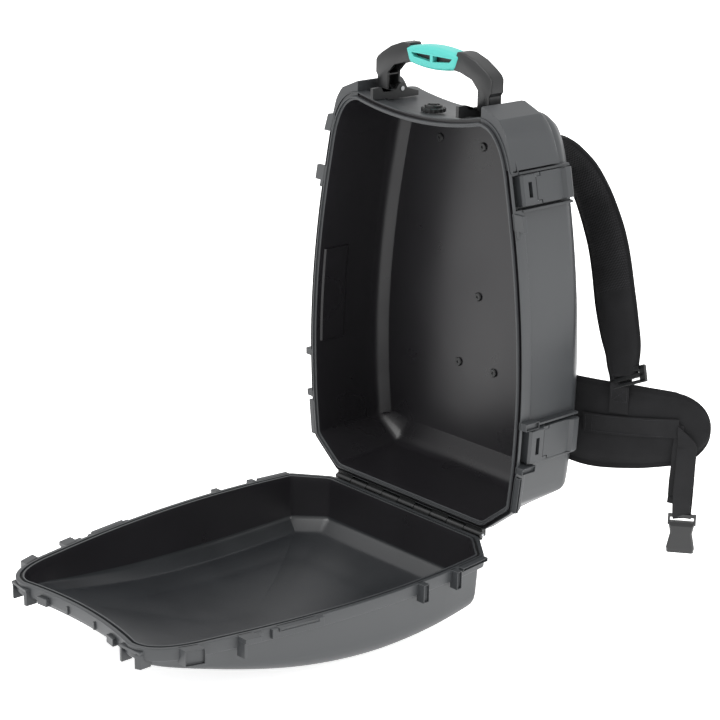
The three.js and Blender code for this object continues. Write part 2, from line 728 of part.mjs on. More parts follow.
// The hip belt from its middle to the tip: x is where the row stands, y its front face behind the
// shell's back, middle and tall its place and height, thick its share of beltThickness.
const beltRows = [
  { x: 0, y: 0, middle: 138, tall: 1, thick: 1.4 },
  { x: 90, y: 0, middle: 138, tall: 1, thick: 1.4 },
  { x: 140, y: 2, middle: 137.5, tall: 1.01, thick: 1.3 },
  { x: 165, y: 5, middle: 137, tall: 1.03, thick: 1.1 },
  { x: 190, y: 12, middle: 137.5, tall: 1.02, thick: 1 },
  { x: 216, y: 20, middle: 139, tall: 1, thick: 1 },
  { x: 240, y: 30, middle: 141, tall: 0.97, thick: 1 },
  { x: 264, y: 41, middle: 142.5, tall: 0.94, thick: 0.95 },
  { x: 290, y: 58, middle: 142.5, tall: 0.88, thick: 0.9 },
  { x: 306, y: 69, middle: 144.5, tall: 0.76, thick: 0.8 },
  { x: 318, y: 80, middle: 146, tall: 0.57, thick: 0.7 },
  { x: 326, y: 88, middle: 150, tall: 0.28, thick: 0.55 },
];
const beltFront = shellDepth + clearance;

// Directions along and out of the belt's front face at a row.
function beltFrame(i) {
  const before = beltRows[Math.max(i - 1, 0)];
  const after = beltRows[Math.min(i + 1, beltRows.length - 1)];
  const along = point(after.x - before.x, after.y - before.y, 0).normalize();
  return { along, out: point(along.y, -along.x, 0) };
}

function hipBelt() {
  const up = point(0, 0, 1);
  const half = beltRows.map((row, i) => {
    const { out } = beltFrame(i);
    const thick = row.thick * beltThickness;
    const at = point(row.x, beltFront + row.y, row.middle).addScaledVector(out, -thick / 2);
    return { at, wide: row.tall * beltHeight, thick, across: up };
  });
  const other = half.slice(1).reverse().map(row => ({ ...row, at: point(-row.at.x, row.at.y, row.at.z) }));
  return ribbon([...other, ...half]);
}

// A point in front of the belt's face, "lift" away from it.
function onBelt(i, z, lift) {
  const row = beltRows[i];
  return point(row.x, beltFront + row.y, z).addScaledVector(beltFrame(i).out, lift);
}

const webbingLift = clearance + 0.5 + webbingThickness / 2;

function beltWebbing() {
  const rows = [4, 5, 6, 7, 8].map(i => ({
    at: onBelt(i, 137 + (i - 4) * 2, webbingLift), wide: webbingWidth, thick: webbingThickness, across: point(0, 0, 1),
  }));
  return ribbon(rows);
}

// The loop of webbing that hangs at the belt's tip, in front of it and back up behind it.
const tipRow = 9;
const loopBottom = 21;
const loopSlack = 2;            // room behind the belt

function hangingWebbing() {
  const { along } = beltFrame(tipRow);
  const behind = -(beltRows[tipRow].thick * beltThickness + webbingLift + loopSlack);
  const front = clearance * 1.2 + webbingThickness / 2;
  const middle = (front + behind) / 2;
  const reach = (front - behind) / 2;
  const path = [
    [front, 152], [front, 118], [front, 76], [front, loopBottom + reach * 1.2], [middle + reach * 0.72, loopBottom + reach * 0.3],
    [middle, loopBottom], [middle - reach * 0.72, loopBottom + reach * 0.3], [behind, loopBottom + reach * 1.2], [behind, 76], [behind, 112],
  ];
  return ribbon(path.map(([lift, z]) => ({
    at: onBelt(tipRow, z, lift), wide: webbingWidth, thick: webbingThickness, across: along,
  })));
}

// Both buckle halves hang in the loop. Their own frame: X across, Y through, Z up, bar at z = 0.
function buckleFrame() {
  const [w, t] = [buckleWidth / 2, buckleThickness / 2];
  const barHalf = 2;
  const across = solid(box(-w, w, -barHalf, barHalf, -barHalf, barHalf));
  const arms = [-1, 1].map(sign => {
    const [x0, x1] = [sign * (w - 3), sign * w].sort((a, b) => a - b);
    return solid(box(x0, x1, -t / 2, t / 2, -12, barHalf));
  });
  return joined([across, ...arms]);
}

function taperedBlock(levels, thick) {
  return solid(loft(levels.map(([z, half, share]) => {
    const t = thick / 2 * share;
    return [[-half, -t * 0.5], [-half, t * 0.5], [2 - half, t], [half - 2, t], [half, t * 0.5], [half, -t * 0.5], [half - 2, -t], [2 - half, -t]]
      .map(([x, y]) => point(x, y, z));
  })));
}

function buckleSocket() {
  const w = buckleWidth / 2;
  const end = -8 - buckleLength;
  const body = taperedBlock([[-8, w, 0.7], [-13, w - 2, 1], [-24, w - 4, 1], [end + 6, w, 1], [end, w - 1, 0.85]], buckleThickness);
  const mouth = solid(box(3 - w, w - 3, -3, 3, end - 1, end + 16));
  return geometryOf(cutBy(buckleFrame().add(body), [mouth]));
}

function bucklePlug() {
  const w = buckleWidth / 2;
  const body = taperedBlock([[-8, w, 0.7], [-12, w, 1], [-20, w, 1], [-22, w - 1, 0.8]], buckleThickness);
  const prongs = [-1, 0, 1].map(k => {
    const x = k * (w - 6);
    return solid(box(x - 2, x + 2, -2, 2, -8 - buckleLength + (k ? 4 : 10), -21));
  });
  return geometryOf(joined([buckleFrame(), body, ...prongs]));
}

function placeBuckle(geometry) {
  const { along } = beltFrame(tipRow);
  const behind = -(beltRows[tipRow].thick * beltThickness + webbingLift + loopSlack);
  const at = onBelt(tipRow, loopBottom + webbingThickness / 2 + clearance + 3.4, (behind + webbingLift + webbingThickness) / 2);
  return geometry.rotateZ(Math.atan2(along.y, along.x)).translate(at.x, at.y, at.z);
}

// The right shoulder strap, from the back panel over and down to the ladder lock. x, y and z are
// added to where it leaves the back; wide and thick are shares of its size.
const strapRows = [
  { x: 0, y: 0.1, z: 0, wide: 0.72, thick: 0.7 },
  { x: 0, y: 10, z: 0, wide: 0.8, thick: 0.8 },
  { x: 5, y: 25, z: 3, wide: 0.9, thick: 1 },
  { x: 12, y: 41, z: -7, wide: 1, thick: 1 },
  { x: 22, y: 62, z: -32, wide: 1, thick: 1 },
  { x: 35, y: 75, z: -64, wide: 1, thick: 1 },
  { x: 49, y: 80, z: -96, wide: 1, thick: 1 },
  { x: 64, y: 79, z: -126, wide: 1, thick: 1 },
  { x: 78, y: 74, z: -156, wide: 1, thick: 1 },
  { x: 96, y: 64, z: -194, wide: 1, thick: 1 },
  { x: 117, y: 52, z: -226, wide: 0.97, thick: 1 },
  { x: 133, y: 43, z: -246, wide: 0.85, thick: 0.9 },
  { x: 138, y: 38, z: -260, wide: 0.6, thick: 0.6 },
];
const strapRoot = point(strapHalfSpread, shellDepth + clearance, caseHeight - strapRootDrop);

function shoulderStrap() {
  const across = point(0.98, 0.2, 0);
  return ribbon(strapRows.map(row => ({
    at: point(row.x, row.y, row.z).add(strapRoot),
    wide: row.wide * strapWidth,
    thick: row.thick * strapThickness,
    across,
  })));
}

// Ladder lock under the strap's end, lying in the plane of the strap there.
const lockLength = 20;
const tabRow = 5;
function lockPlace() {
  const last = strapRows.at(-1);
  const end = point(last.x, last.y, last.z).add(strapRoot);
  const before = strapRows.at(-2);
  const along = end.clone().sub(point(before.x, before.y, before.z).add(strapRoot)).normalize();
  return { end, along };
}

function ladderLock() {
  const [w, t] = [webbingWidth / 2 + 5, 4];
  const plate = solid(box(-w, w, -t / 2, t / 2, -lockLength, 0));
  const slots = [[-4.5, -8.5], [-12, -16]].map(([z1, z0]) => solid(box(4 - w, w - 4, -t, t, z0, z1)));
  const geometry = geometryOf(cutBy(plate, slots));
  const { end, along } = lockPlace();
  const across = point(0.98, 0.2, 0);
  across.addScaledVector(along, -along.dot(across)).normalize();
  const through = across.clone().cross(along);
  const turn = new THREE.Matrix4().makeBasis(across, through, along.clone().negate());
  const at = end.clone().addScaledVector(along, clearance);
  return geometry.applyMatrix4(turn).translate(at.x, at.y, at.z);
}

// From the ladder lock down over the belt's upper edge to the tab sewn on its front face.
function strapWebbing() {
  const { end, along } = lockPlace();
  const [a, b] = [tabRow, tabRow + 1].map(i => point(beltRows[i].x, beltFront + beltRows[i].y, 0));
  const across = b.clone().sub(a).normalize();
  const out = point(across.y, -across.x, 0);
  const face = (z, lift) => a.clone().lerp(b, 0.5).addScaledVector(out, lift).setZ(z);
  const under = distance => end.clone().addScaledVector(along, lockLength + distance);
  const top = beltRows[tabRow].middle + beltHeight / 2;
  const rows = [
    under(clearance * 3), under(4), face(top + 2.8, -3), face(top - 1, webbingLift + 1.2),
    face(top - 8, webbingLift), face(top - 36, webbingLift),
  ];
  return ribbon(rows.map(at => ({ at, wide: webbingWidth, thick: webbingThickness, across })));
}

// Assembly

const assembly = new THREE.Group();
const hingeFrame = new THREE.Group();
hingeFrame.position.set(0, -originBack, -originHeight);
assembly.add(hingeFrame);

function add(name, geometry, finish, parent = hingeFrame) {
  const mesh = new THREE.Mesh(geometry, new THREE.MeshStandardMaterial(finish));
  mesh.name = name;
  parent.add(mesh);
}

add('shell_body', shellBody(), plastic);
add('lid_body', lidBody(), plastic);
add('lid_seal', lidSeal(), rubber);
add('hinge_pin', bar(-hingeHalfLength - 1, hingeHalfLength + 1, 0, 0, pinRadius, 12), steel);
add('vent_valve', ventValve(), blackPlastic);
add('handle_frame', handleFrame(), plastic);
add('handle_grip', handleGrip(), turquoise);
for (const row of screws) {
  add(`back_screw_${row.name}`, backScrew(row), blackPlastic);
}

for (const [hand, flip] of [['right', g => g], ['left', mirrored]]) {
  add(`handle_rib_${hand}`, flip(handleRib()), plastic);
  add(`handle_pin_${hand}`, flip(foldPin()), steel);
  for (const latch of latches) {
    const seat = latchSeat(latch);
    const place = geometry => flip(geometry.rotateY(seat.lean).translate(seat.x, 0, seat.z));
    add(`latch_base_${latch.name}_${hand}`, place(latchBase(latch)), plastic);
    add(`latch_lever_${latch.name}_${hand}`, place(latchLever(latch)), plastic);
    add(`latch_pin_${latch.name}_${hand}`, place(latchPin(latch)), steel);
  }
  add(`shoulder_strap_${hand}`, flip(shoulderStrap()), fabric);
  add(`strap_webbing_${hand}`, flip(strapWebbing()), fabric);
  add(`ladder_lock_${hand}`, flip(ladderLock()), blackPlastic);
  add(`belt_webbing_${hand}`, flip(beltWebbing()), fabric);
  add(`hanging_webbing_${hand}`, flip(hangingWebbing()), fabric);
}
add('back_pad', backPad(), fabric);
add('hip_belt', hipBelt(), fabric);
add('buckle_socket', placeBuckle(buckleSocket()), blackPlastic);
add('buckle_plug', mirrored(placeBuckle(bucklePlug())), blackPlastic);

export default assembly;
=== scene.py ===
# %% [markdown]
# # A hard shell backpack, opened on its hinge
# The object is a moulded case with a padded harness on its back. The upright half is worn, the
# lid lies open in front of it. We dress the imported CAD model: large mouldings are built again with
# finer surfaces, small hard parts get soft edges, and the padded parts are inflated as cloth.

# %% Load the frame
import json
import math

import bmesh
import bpy
import numpy as np
from mathutils import Matrix, Vector


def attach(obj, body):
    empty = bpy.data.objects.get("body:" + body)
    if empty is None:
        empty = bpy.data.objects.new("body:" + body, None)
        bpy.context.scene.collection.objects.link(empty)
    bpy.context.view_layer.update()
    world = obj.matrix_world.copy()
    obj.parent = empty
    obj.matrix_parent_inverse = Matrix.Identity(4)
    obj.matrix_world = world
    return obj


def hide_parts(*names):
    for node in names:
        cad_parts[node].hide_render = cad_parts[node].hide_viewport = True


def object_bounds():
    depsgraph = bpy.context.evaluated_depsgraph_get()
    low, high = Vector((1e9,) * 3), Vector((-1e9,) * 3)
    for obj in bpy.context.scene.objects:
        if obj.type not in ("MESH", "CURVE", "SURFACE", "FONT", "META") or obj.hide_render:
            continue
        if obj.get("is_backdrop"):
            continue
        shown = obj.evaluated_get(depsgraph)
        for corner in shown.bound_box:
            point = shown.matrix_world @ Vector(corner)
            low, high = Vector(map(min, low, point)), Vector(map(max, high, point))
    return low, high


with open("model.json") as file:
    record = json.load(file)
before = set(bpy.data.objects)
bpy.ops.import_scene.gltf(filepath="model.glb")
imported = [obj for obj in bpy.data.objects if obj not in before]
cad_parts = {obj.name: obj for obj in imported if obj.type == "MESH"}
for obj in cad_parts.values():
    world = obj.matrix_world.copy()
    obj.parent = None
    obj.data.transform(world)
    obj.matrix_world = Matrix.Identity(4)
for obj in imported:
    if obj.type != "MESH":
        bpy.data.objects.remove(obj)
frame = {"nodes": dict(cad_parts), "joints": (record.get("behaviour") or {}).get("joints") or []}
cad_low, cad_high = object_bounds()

print("CAD box", [round(v, 4) for v in cad_low], [round(v, 4) for v in cad_high])

# %% [markdown]
# ## The camera
# A photograph of goods is taken from some way off with a long lens, so the sides stay nearly
# parallel. The shift moves the picture in its own plane, which keeps upright lines upright.

# %% Camera
azimuth = math.radians(48.869)
elevation = math.radians(18.8635)
roll = math.radians(0.52)
flat = math.cos(elevation)
back = Vector((math.sin(azimuth) * flat, -math.cos(azimuth) * flat, math.sin(elevation)))
level = Vector((math.cos(azimuth), math.sin(azimuth), 0))
steep = back.cross(level)
right = level * math.cos(roll) + steep * math.sin(roll)
up = steep * math.cos(roll) - level * math.sin(roll)

camera_data = bpy.data.cameras.new("camera")
camera_data.lens = 103.3
camera_data.sensor_width = 36
camera_data.shift_x = 0.0475
camera_data.shift_y = 0.0585
camera = bpy.data.objects.new("camera", camera_data)
bpy.context.scene.collection.objects.link(camera)
camera.matrix_world = Matrix((right, up, back)).transposed().to_4x4()
camera.location = (1.8587, -1.9174, 0.7182)
bpy.context.scene.camera = camera
print("camera", camera_data.lens, "mm")

# %% [markdown]
# ## Light and ground
# Dark plastic is drawn by what it mirrors. Large soft lights in a bright room give broad, calm
# highlights, and a white ground lets the object stand free with hardly a shadow.

# %% Node helper
def add_node(tree, kind, inputs=None, **settings):
    """A node with its settings. Each input is a value, or an output socket to link from."""
    node = tree.nodes.new(kind)
    for key, value in settings.items():
        setattr(node, key, value)
    for key, value in (inputs or {}).items():
        if isinstance(value, bpy.types.NodeSocket):
            tree.links.new(value, node.inputs[key])
        else:
            node.inputs[key].default_value = value
    return node


def linear(code):
    """An sRGB colour such as "5e6062" as linear red, green, blue and alpha."""
    parts = [int(code[i:i + 2], 16) / 255 for i in (0, 2, 4)]
    return [p / 12.92 if p <= 0.04045 else ((p + 0.055) / 1.055) ** 2.4 for p in parts] + [1]


def new_material(name):
    """A material, its node tree and its main shader."""
    material = bpy.data.materials.new(name)
    material.use_nodes = True
    return material, material.node_tree, material.node_tree.nodes["Principled BSDF"]


def two_tone(tree, factor, dark, light):
    """A colour that goes from one sRGB code to another as the factor rises."""
    mix = add_node(tree, "ShaderNodeMix", {"Factor": factor}, data_type="RGBA")
    mix.inputs[6].default_value = linear(dark)
    mix.inputs[7].default_value = linear(light)
    return mix.outputs[2]


# %% World, lights and ground
scene = bpy.context.scene
scene.view_settings.view_transform = "Standard"
world = bpy.data.worlds.new("studio")
scene.world = world
world.use_nodes = True
world.node_tree.nodes["Background"].inputs["Color"].default_value = linear("ffffff")
world.node_tree.nodes["Background"].inputs["Strength"].default_value = 1.0


def area_light(name, place, aim, width, height, watts):
    """A rectangular softbox at "place" that shines towards "aim", in metres of the row frame."""
    data = bpy.data.lights.new(name, "AREA")
    data.shape = "RECTANGLE"
    data.size = width
    data.size_y = height
    data.energy = watts
    light = bpy.data.objects.new(name, data)
    scene.collection.objects.link(light)
    light.location = place
    light.rotation_euler = (Vector(aim) - Vector(place)).to_track_quat("-Z", "Y").to_euler()
    return light


area_light("key_softbox", (-0.9, -2.1, 2.2), (0, -0.3, -0.1), 1.6, 1.6, 42)
area_light("side_softbox", (2.6, 0.1, 1.3), (0.1, -0.1, 0), 1.4, 1.8, 34)
area_light("top_softbox", (0.3, 0.4, 2.6), (0, -0.2, 0), 2.0, 1.2, 22)

floor_mesh = bpy.data.meshes.new("studio_floor")
half = 6
floor_z = cad_low[2]
floor_corners = [(x * half, y * half, floor_z) for x, y in ((-1, -1), (1, -1), (1, 1), (-1, 1))]
floor_mesh.from_pydata(floor_corners, [], [(0, 1, 2, 3)])
floor = bpy.data.objects.new("studio_floor", floor_mesh)
scene.collection.objects.link(floor)
floor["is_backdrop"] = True

paper, tree, shader = new_material("white backdrop paper")
grain = add_node(tree, "ShaderNodeTexNoise", {"Scale": 40.0, "Detail": 3.0}).outputs["Fac"]
tree.links.new(two_tone(tree, grain, "fbfbfb", "ffffff"), shader.inputs["Base Color"])
shader.inputs["Roughness"].default_value = 0.9
# The ground is lit from behind as well, like a light table, so shadows stay faint.
shader.inputs["Emission Color"].default_value = linear("ffffff")
shader.inputs["Emission Strength"].default_value = 0.75
floor_mesh.materials.append(paper)
print("ground at z", round(floor_z, 4))

# %% [markdown]
# ## Materials
# Everything here is a plastic, a fabric or a rubber, so nothing is metallic but the pins. What
# tells them apart is grain and gloss: a mould leaves a fine spark texture outside and a smoother
# face inside, and a weave scatters light until it looks almost black.

# %% Moulded plastics
def moulded(name, dark, light, rough, grain_mm, bump_mm, sheen=0.0, mirror=0.5):
    """A moulded plastic: slightly uneven colour and gloss, and a fine grain in its surface."""
    material, tree, shader = new_material(name)
    where = add_node(tree, "ShaderNodeTexCoord").outputs["Object"]
    broad = {"Vector": where, "Scale": 9.0, "Detail": 4.0}
    cloud = add_node(tree, "ShaderNodeTexNoise", broad).outputs["Fac"]
    fine = {"Vector": where, "Scale": 1000 / grain_mm, "Detail": 2.0}
    speck = add_node(tree, "ShaderNodeTexNoise", fine).outputs["Fac"]
    tint = two_tone(tree, cloud, dark, light)
    gloss = add_node(
        tree, "ShaderNodeMapRange",
        {"Value": cloud, "From Min": 0.3, "From Max": 0.7, "To Min": rough - 0.04, "To Max": rough + 0.05},
    )
    grain = {"Height": speck, "Strength": 0.35, "Distance": bump_mm / 1000}
    relief = add_node(tree, "ShaderNodeBump", grain)
    tree.links.new(tint, shader.inputs["Base Color"])
    tree.links.new(gloss.outputs["Result"], shader.inputs["Roughness"])
    tree.links.new(relief.outputs["Normal"], shader.inputs["Normal"])
    shader.inputs["IOR"].default_value = 1.49
    shader.inputs["Sheen Weight"].default_value = sheen
    shader.inputs["Specular IOR Level"].default_value = mirror
    return material


# Polypropylene is a soft, waxy plastic: the spark-eroded mould gives it a 0.8 mm grain (drawn a
# little coarser than the real half millimetre) and a satin gloss.
case_plastic = moulded("moulded polypropylene", "2c2e30", "343638", 0.42, 0.8, 0.05)
# The core side of the mould is polished, so the inside is darker and glossier.
inner_plastic = moulded("moulded polypropylene, core side", "1a191b", "201f22", 0.3, 1.2, 0.015, 0.0, 0.38)
# The lid's floor lies open to the sky, so its finish is drawn a shade lighter than the walls, as painted
# light.
lid_floor_painted_light = moulded("moulded polypropylene, lid floor with painted light", "1b1d1f", "25272a", 0.33, 1.2, 0.015, 0.0, 0.6)
# Glass-filled nylon is used for buckles, the handle and the valve: harder and blacker.
black_nylon = moulded("glass-filled nylon", "0e0f10", "161718", 0.4, 0.6, 0.03)
# The grip is a soft rubber moulded over the handle: matt, with a soft bloom at grazing angles.
grip_rubber = moulded("soft grip elastomer", "3ba79f", "46b2a9", 0.5, 0.7, 0.03, 0.1)
seal_rubber = moulded("foamed rubber seal", "101011", "161617", 0.75, 0.5, 0.05)

# %% Steel
steel, tree, shader = new_material("turned stainless steel")
where = add_node(tree, "ShaderNodeTexCoord").outputs["Object"]
# Turning leaves fine rings round the pin, about 0.4 mm apart.
turning = {"Vector": where, "Scale": 400.0, "Distortion": 1.5, "Detail": 2.0}
rings = add_node(tree, "ShaderNodeTexWave", turning)
gloss = add_node(tree, "ShaderNodeMapRange", {"Value": rings.outputs["Fac"], "To Min": 0.22, "To Max": 0.4})
tree.links.new(gloss.outputs["Result"], shader.inputs["Roughness"])
shader.inputs["Base Color"].default_value = linear("a9abad")
shader.inputs["Metallic"].default_value = 1.0

# %% Fabrics
def woven(name, dark, light, across_mm, along_mm, depth_mm, rough, turn=0.0):
    """A weave along the piece's own UV map, which is laid out in metres: u across, v along."""
    material, tree, shader = new_material(name)
    uv = add_node(tree, "ShaderNodeUVMap", uv_map="weave").outputs["UV"]
    turned = add_node(tree, "ShaderNodeMapping", {"Vector": uv, "Rotation": (0, 0, turn)}).outputs["Vector"]
    parts = add_node(tree, "ShaderNodeSeparateXYZ", {"Vector": turned})
    waves = []
    for axis, pitch in (("X", across_mm), ("Y", along_mm)):
        factors = {0: parts.outputs[axis], 1: 2 * math.pi * 1000 / pitch}
        turns = add_node(tree, "ShaderNodeMath", factors, operation="MULTIPLY")
        waves.append(add_node(tree, "ShaderNodeMath", {0: turns.outputs[0]}, operation="SINE").outputs[0])
    over = add_node(tree, "ShaderNodeMath", {0: waves[0], 1: waves[1]}, operation="MULTIPLY").outputs[0]
    swing = {"Value": over, "From Min": -1.0, "From Max": 1.0}
    height = add_node(tree, "ShaderNodeMapRange", swing).outputs["Result"]
    where = add_node(tree, "ShaderNodeTexCoord").outputs["Object"]
    patchy = {"Vector": where, "Scale": 30.0, "Detail": 5.0}
    wear = add_node(tree, "ShaderNodeTexNoise", patchy).outputs["Fac"]
    blend = add_node(tree, "ShaderNodeMath", {0: height, 1: wear}, operation="MULTIPLY").outputs[0]
    tint = two_tone(tree, blend, dark, light)
    threads = {"Height": height, "Strength": 0.8, "Distance": depth_mm / 1000}
    relief = add_node(tree, "ShaderNodeBump", threads)
    tree.links.new(tint, shader.inputs["Base Color"])
    tree.links.new(relief.outputs["Normal"], shader.inputs["Normal"])
    shader.inputs["Roughness"].default_value = rough
    # Threads shade each other, so cloth returns far less of the sky than a smooth plastic would.
    shader.inputs["Specular IOR Level"].default_value = 0.14
    shader.inputs["Sheen Weight"].default_value = 0.03
    shader.inputs["Sheen Roughness"].default_value = 0.5
    return material


# Coated pack cloth, a plain weave. Its real threads are 0.5 mm apart, drawn here at 1 mm.
pack_cloth = woven("coated nylon pack cloth", "121213", "29292b", 1.0, 1.0, 0.12, 0.78)
# Spacer mesh breathes against the body: slanted ribs about 4 mm apart catch the light in lines.
spacer_mesh = woven("polyester spacer mesh", "0f0f10", "353537", 9.0, 3.6, 0.7, 0.85, math.radians(24))
# Narrow webbing is a ribbed weave with a pick every 1.6 mm across its length.
webbing_cloth = woven("nylon webbing", "101011", "2b2b2d", 2.6, 1.6, 0.25, 0.7)
# Binding tape wraps the raw edges of the padding.
binding_tape = woven("grosgrain binding tape", "0e0e0f", "222224", 6.0, 1.2, 0.15, 0.8)
thread = woven("bonded sewing thread", "252527", "3d3d40", 0.5, 0.5, 0.05, 0.6)
print("materials", len(bpy.data.materials))

# %% [markdown]
# ## From measurements to meshes
# All sizes below are millimetres about the lid's hinge: x to the right, y towards the wearer, z up.
# One function turns them into a mesh in the shared frame, gives it a finish and lets it ride on
# the body that it belongs to.

# %% Mesh helper
hinge = np.array(next(j["pos_m"] for j in frame["joints"] if j["name"] == "lid_hinge"))


def make(name, shape, finishes, body, sharp=32, which=None, uv=None):
    """A piece from (points in mm, faces). "which" gives each face its finish, "uv" each point its place."""
    points, faces = shape
    mesh = bpy.data.meshes.new(name)
    placed = np.asarray(points) / 1000 + hinge
    mesh.from_pydata(placed.tolist(), [], [tuple(int(i) for i in f) for f in faces])
    for finish in finishes:
        mesh.materials.append(finish)
    if which is not None:
        mesh.polygons.foreach_set("material_index", np.asarray(which, dtype=np.int32))
    layer = mesh.uv_layers.new(name="weave")
    spots = np.asarray(points)[:, :2] if uv is None else np.asarray(uv)
    corners = np.zeros(len(mesh.loops), dtype=np.int32)
    mesh.loops.foreach_get("vertex_index", corners)
    layer.data.foreach_set("uv", (spots[corners] / 1000).astype(np.float32).ravel())
    work = bmesh.new()
    work.from_mesh(mesh)
    bmesh.ops.recalc_face_normals(work, faces=work.faces)
    work.to_mesh(mesh)
    work.free()
    mesh.shade_smooth()
    mesh.set_sharp_from_angle(angle=math.radians(sharp))
    piece = bpy.data.objects.new(name, mesh)
    scene.collection.objects.link(piece)
    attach(piece, body)
    return piece


def soft_edges(piece, width_mm, segments=2):
    """Real mouldings have no knife edges: a small bevel lets every edge catch the light."""
    bevel = piece.modifiers.new("soft edges", "BEVEL")
    bevel.width = width_mm / 1000
    bevel.segments = segments
    bevel.limit_method = "ANGLE"
    bevel.angle_limit = math.radians(35)
    bevel.harden_normals = True


def loft(rings, caps=True, wrap=True):
    """Rings with equally many points, joined one after another."""
    count = len(rings[0])
    faces = []
    for r in range(len(rings) - 1):
        for i in range(count if wrap else count - 1):
            j = (i + 1) % count
            faces.append((r * count + i, r * count + j, (r + 1) * count + j, (r + 1) * count + i))
    if caps:
        last = (len(rings) - 1) * count
        faces.append(tuple(reversed(range(count))))
        faces.append(tuple(range(last, last + count)))
    return np.concatenate([np.asarray(r, dtype=float) for r in rings]), faces


def merged(shapes):
    """Several (points, faces) as one."""
    points = []
    faces = []
    start = 0
    for some, quads in shapes:
        points.append(np.asarray(some, dtype=float))
        faces += [tuple(i + start for i in quad) for quad in quads]
        start += len(some)
    return np.concatenate(points), faces


def spline(knots, count):
    """A smooth curve through the knots, the same one as in the CAD source."""
    knots = np.asarray(knots, dtype=float)
    last = len(knots) - 1
    out = []
    for t in np.linspace(0, last, count):
        i = min(int(t), last - 1)
        a, b, c, d = knots[max(i - 1, 0)], knots[i], knots[i + 1], knots[min(i + 2, last)]
        u = t - i
        v0 = (c - a) / 2
        v1 = (d - b) / 2
        cubic = 2 * b - 2 * c + v0 + v1
        square = -3 * b + 3 * c - 2 * v0 - v1
        out.append(cubic * u ** 3 + square * u ** 2 + v0 * u + b)
    return np.array(out)


def arc(a, b, c, count):
    """A curve from a to c that leans towards b."""
    a, b, c = (np.asarray(p, dtype=float) for p in (a, b, c))
    t = np.linspace(0, 1, count)[:, None]
    return (1 - t) ** 2 * a + 2 * t * (1 - t) * b + t ** 2 * c


def stood(line, depth):
    """A line of (x, z) stood upright at a depth."""
    return np.stack([line[:, 0], np.full(len(line), depth), line[:, 1]], axis=1)


def flipped(shape):
    """The same shape on the other hand."""
    points, faces = shape
    return points * (-1, 1, 1), faces


def both_hands(shape):
    """The shape for the right hand, and its mirror image for the left."""
    return ("right", shape), ("left", flipped(shape))


# %% [markdown]
# ## The rim outline
# Both halves share one outline, so that they close on each other: a flat lower edge with cut
# corners, sides that swell and then lean in, round upper corners and a top edge that dips.

# %% Outline
case_height = 530.0
case_half = 200.3
bow_x = 0.749 * case_half - 40.3
top_bow = 12.6
# How far the rim's outer edge stands above and before the hinge axis.
rim_reach = 6.6
# Shares of the half width and of the height.
side_knots = [
    (0.949, 38.5 / 530), (0.985, 0.2), (1, 0.35), (0.985, 0.49), (0.949, 0.62), (0.899, 0.74), (0.825, 0.88),
]
side_curve = spline([(x * case_half, s * case_height) for x, s in side_knots], 200)
latches = [(445.73, 38.0), (127.2, 45.0)]

breaks = [s + k * (h / 2 + 1.5) + e for s, h in latches for k in (-1, 1) for e in (-0.4, 0.4)]
side_s = np.array(sorted(set(np.linspace(38.5, 0.88 * case_height, 42).tolist() + breaks)))
side_s = side_s[(side_s < 39) | (side_s > 46)]
side_points = np.stack([np.interp(side_s, side_curve[:, 1], side_curve[:, 0]), side_s], axis=1)
corner_start = (0.825 * case_half, 0.88 * case_height)
corner_curve = arc(corner_start, (0.749 * case_half, case_height), (bow_x, case_height), 14)
bow_curve = arc((bow_x, case_height), (bow_x / 2, case_height - top_bow), (0, case_height - top_bow), 12)
right_half = np.concatenate([[(141.9, 0)], side_points, corner_curve[1:], bow_curve[1:]])
outline = np.concatenate([right_half, (right_half * (-1, 1))[::-1][1:]])


def inward(points, amount):
    """Every corner moved inwards. "amount" takes the outward directions and gives distances."""
    a = points - np.roll(points, 1, axis=0)
    b = np.roll(points, -1, axis=0) - points
    a /= np.linalg.norm(a, axis=1)[:, None]
    b /= np.linalg.norm(b, axis=1)[:, None]
    out = np.stack([a[:, 1] + b[:, 1], -a[:, 0] - b[:, 0]], axis=1)
    out /= np.linalg.norm(out, axis=1)[:, None]
    stretch = 1 / np.maximum(out[:, 0] * a[:, 1] - out[:, 1] * a[:, 0], 0.5)
    return points - out * (amount(out) * stretch)[:, None]


def softened(points, reach=6.0, steps=4):
    """The four sharp lower corners of the outline, rounded. All outlines keep the same count."""
    last = len(points) - 1
    out = []
    for i, p in enumerate(points):
        if i not in (0, 1, last - 1, last):
            out.append(p)
            continue
        for q in (points[i - 1], points[(i + 1) % len(points)]):
            gap = np.linalg.norm(q - p)
            out.append(p + (q - p) * min(reach / gap, 0.45))
        start, end = out[-2:]
        del out[-2:]
        out.extend(arc(start, p, end, steps + 1))
    return np.array(out)


def eased(rows, weights):
    """A profile of rows whose last entry is how far each corner is rounded. Weights make a distance."""
    rows = np.asarray(rows, dtype=float)
    values = rows[:, :-1]
    out = []
    for i, (row, reach) in enumerate(zip(values, rows[:, -1])):
        if reach == 0 or i in (0, len(rows) - 1):
            out.append(row)
            continue
        ends = []
        for other in (values[i - 1], values[i + 1]):
            gap = np.linalg.norm((other - row) * weights)
            ends.append(row + (other - row) * min(reach / max(gap, 0.001), 0.45))
        out.extend(arc(ends[0], row, ends[1], 4))
    return out


def half_width(s):
    """Half the outline's width at a height above its lower edge."""
    return float(np.interp(s, right_half[:66, 1], right_half[:66, 0]))


print("outline points", len(outline))

# %% [markdown]
# ## The upright half
# The moulding is one skin: over the outside to the rim, across the rim with its sealing tongue,
# and down the inside. Lofting that whole path keeps the wall thickness real, so the open edge
# looks solid. The rim band is cut away where a latch stands.

# %% Upright half
pocket = np.zeros(len(outline))
for s, height in latches:
    pocket[np.abs(outline[:, 1] - s) < height / 2 + 1.5] = 1

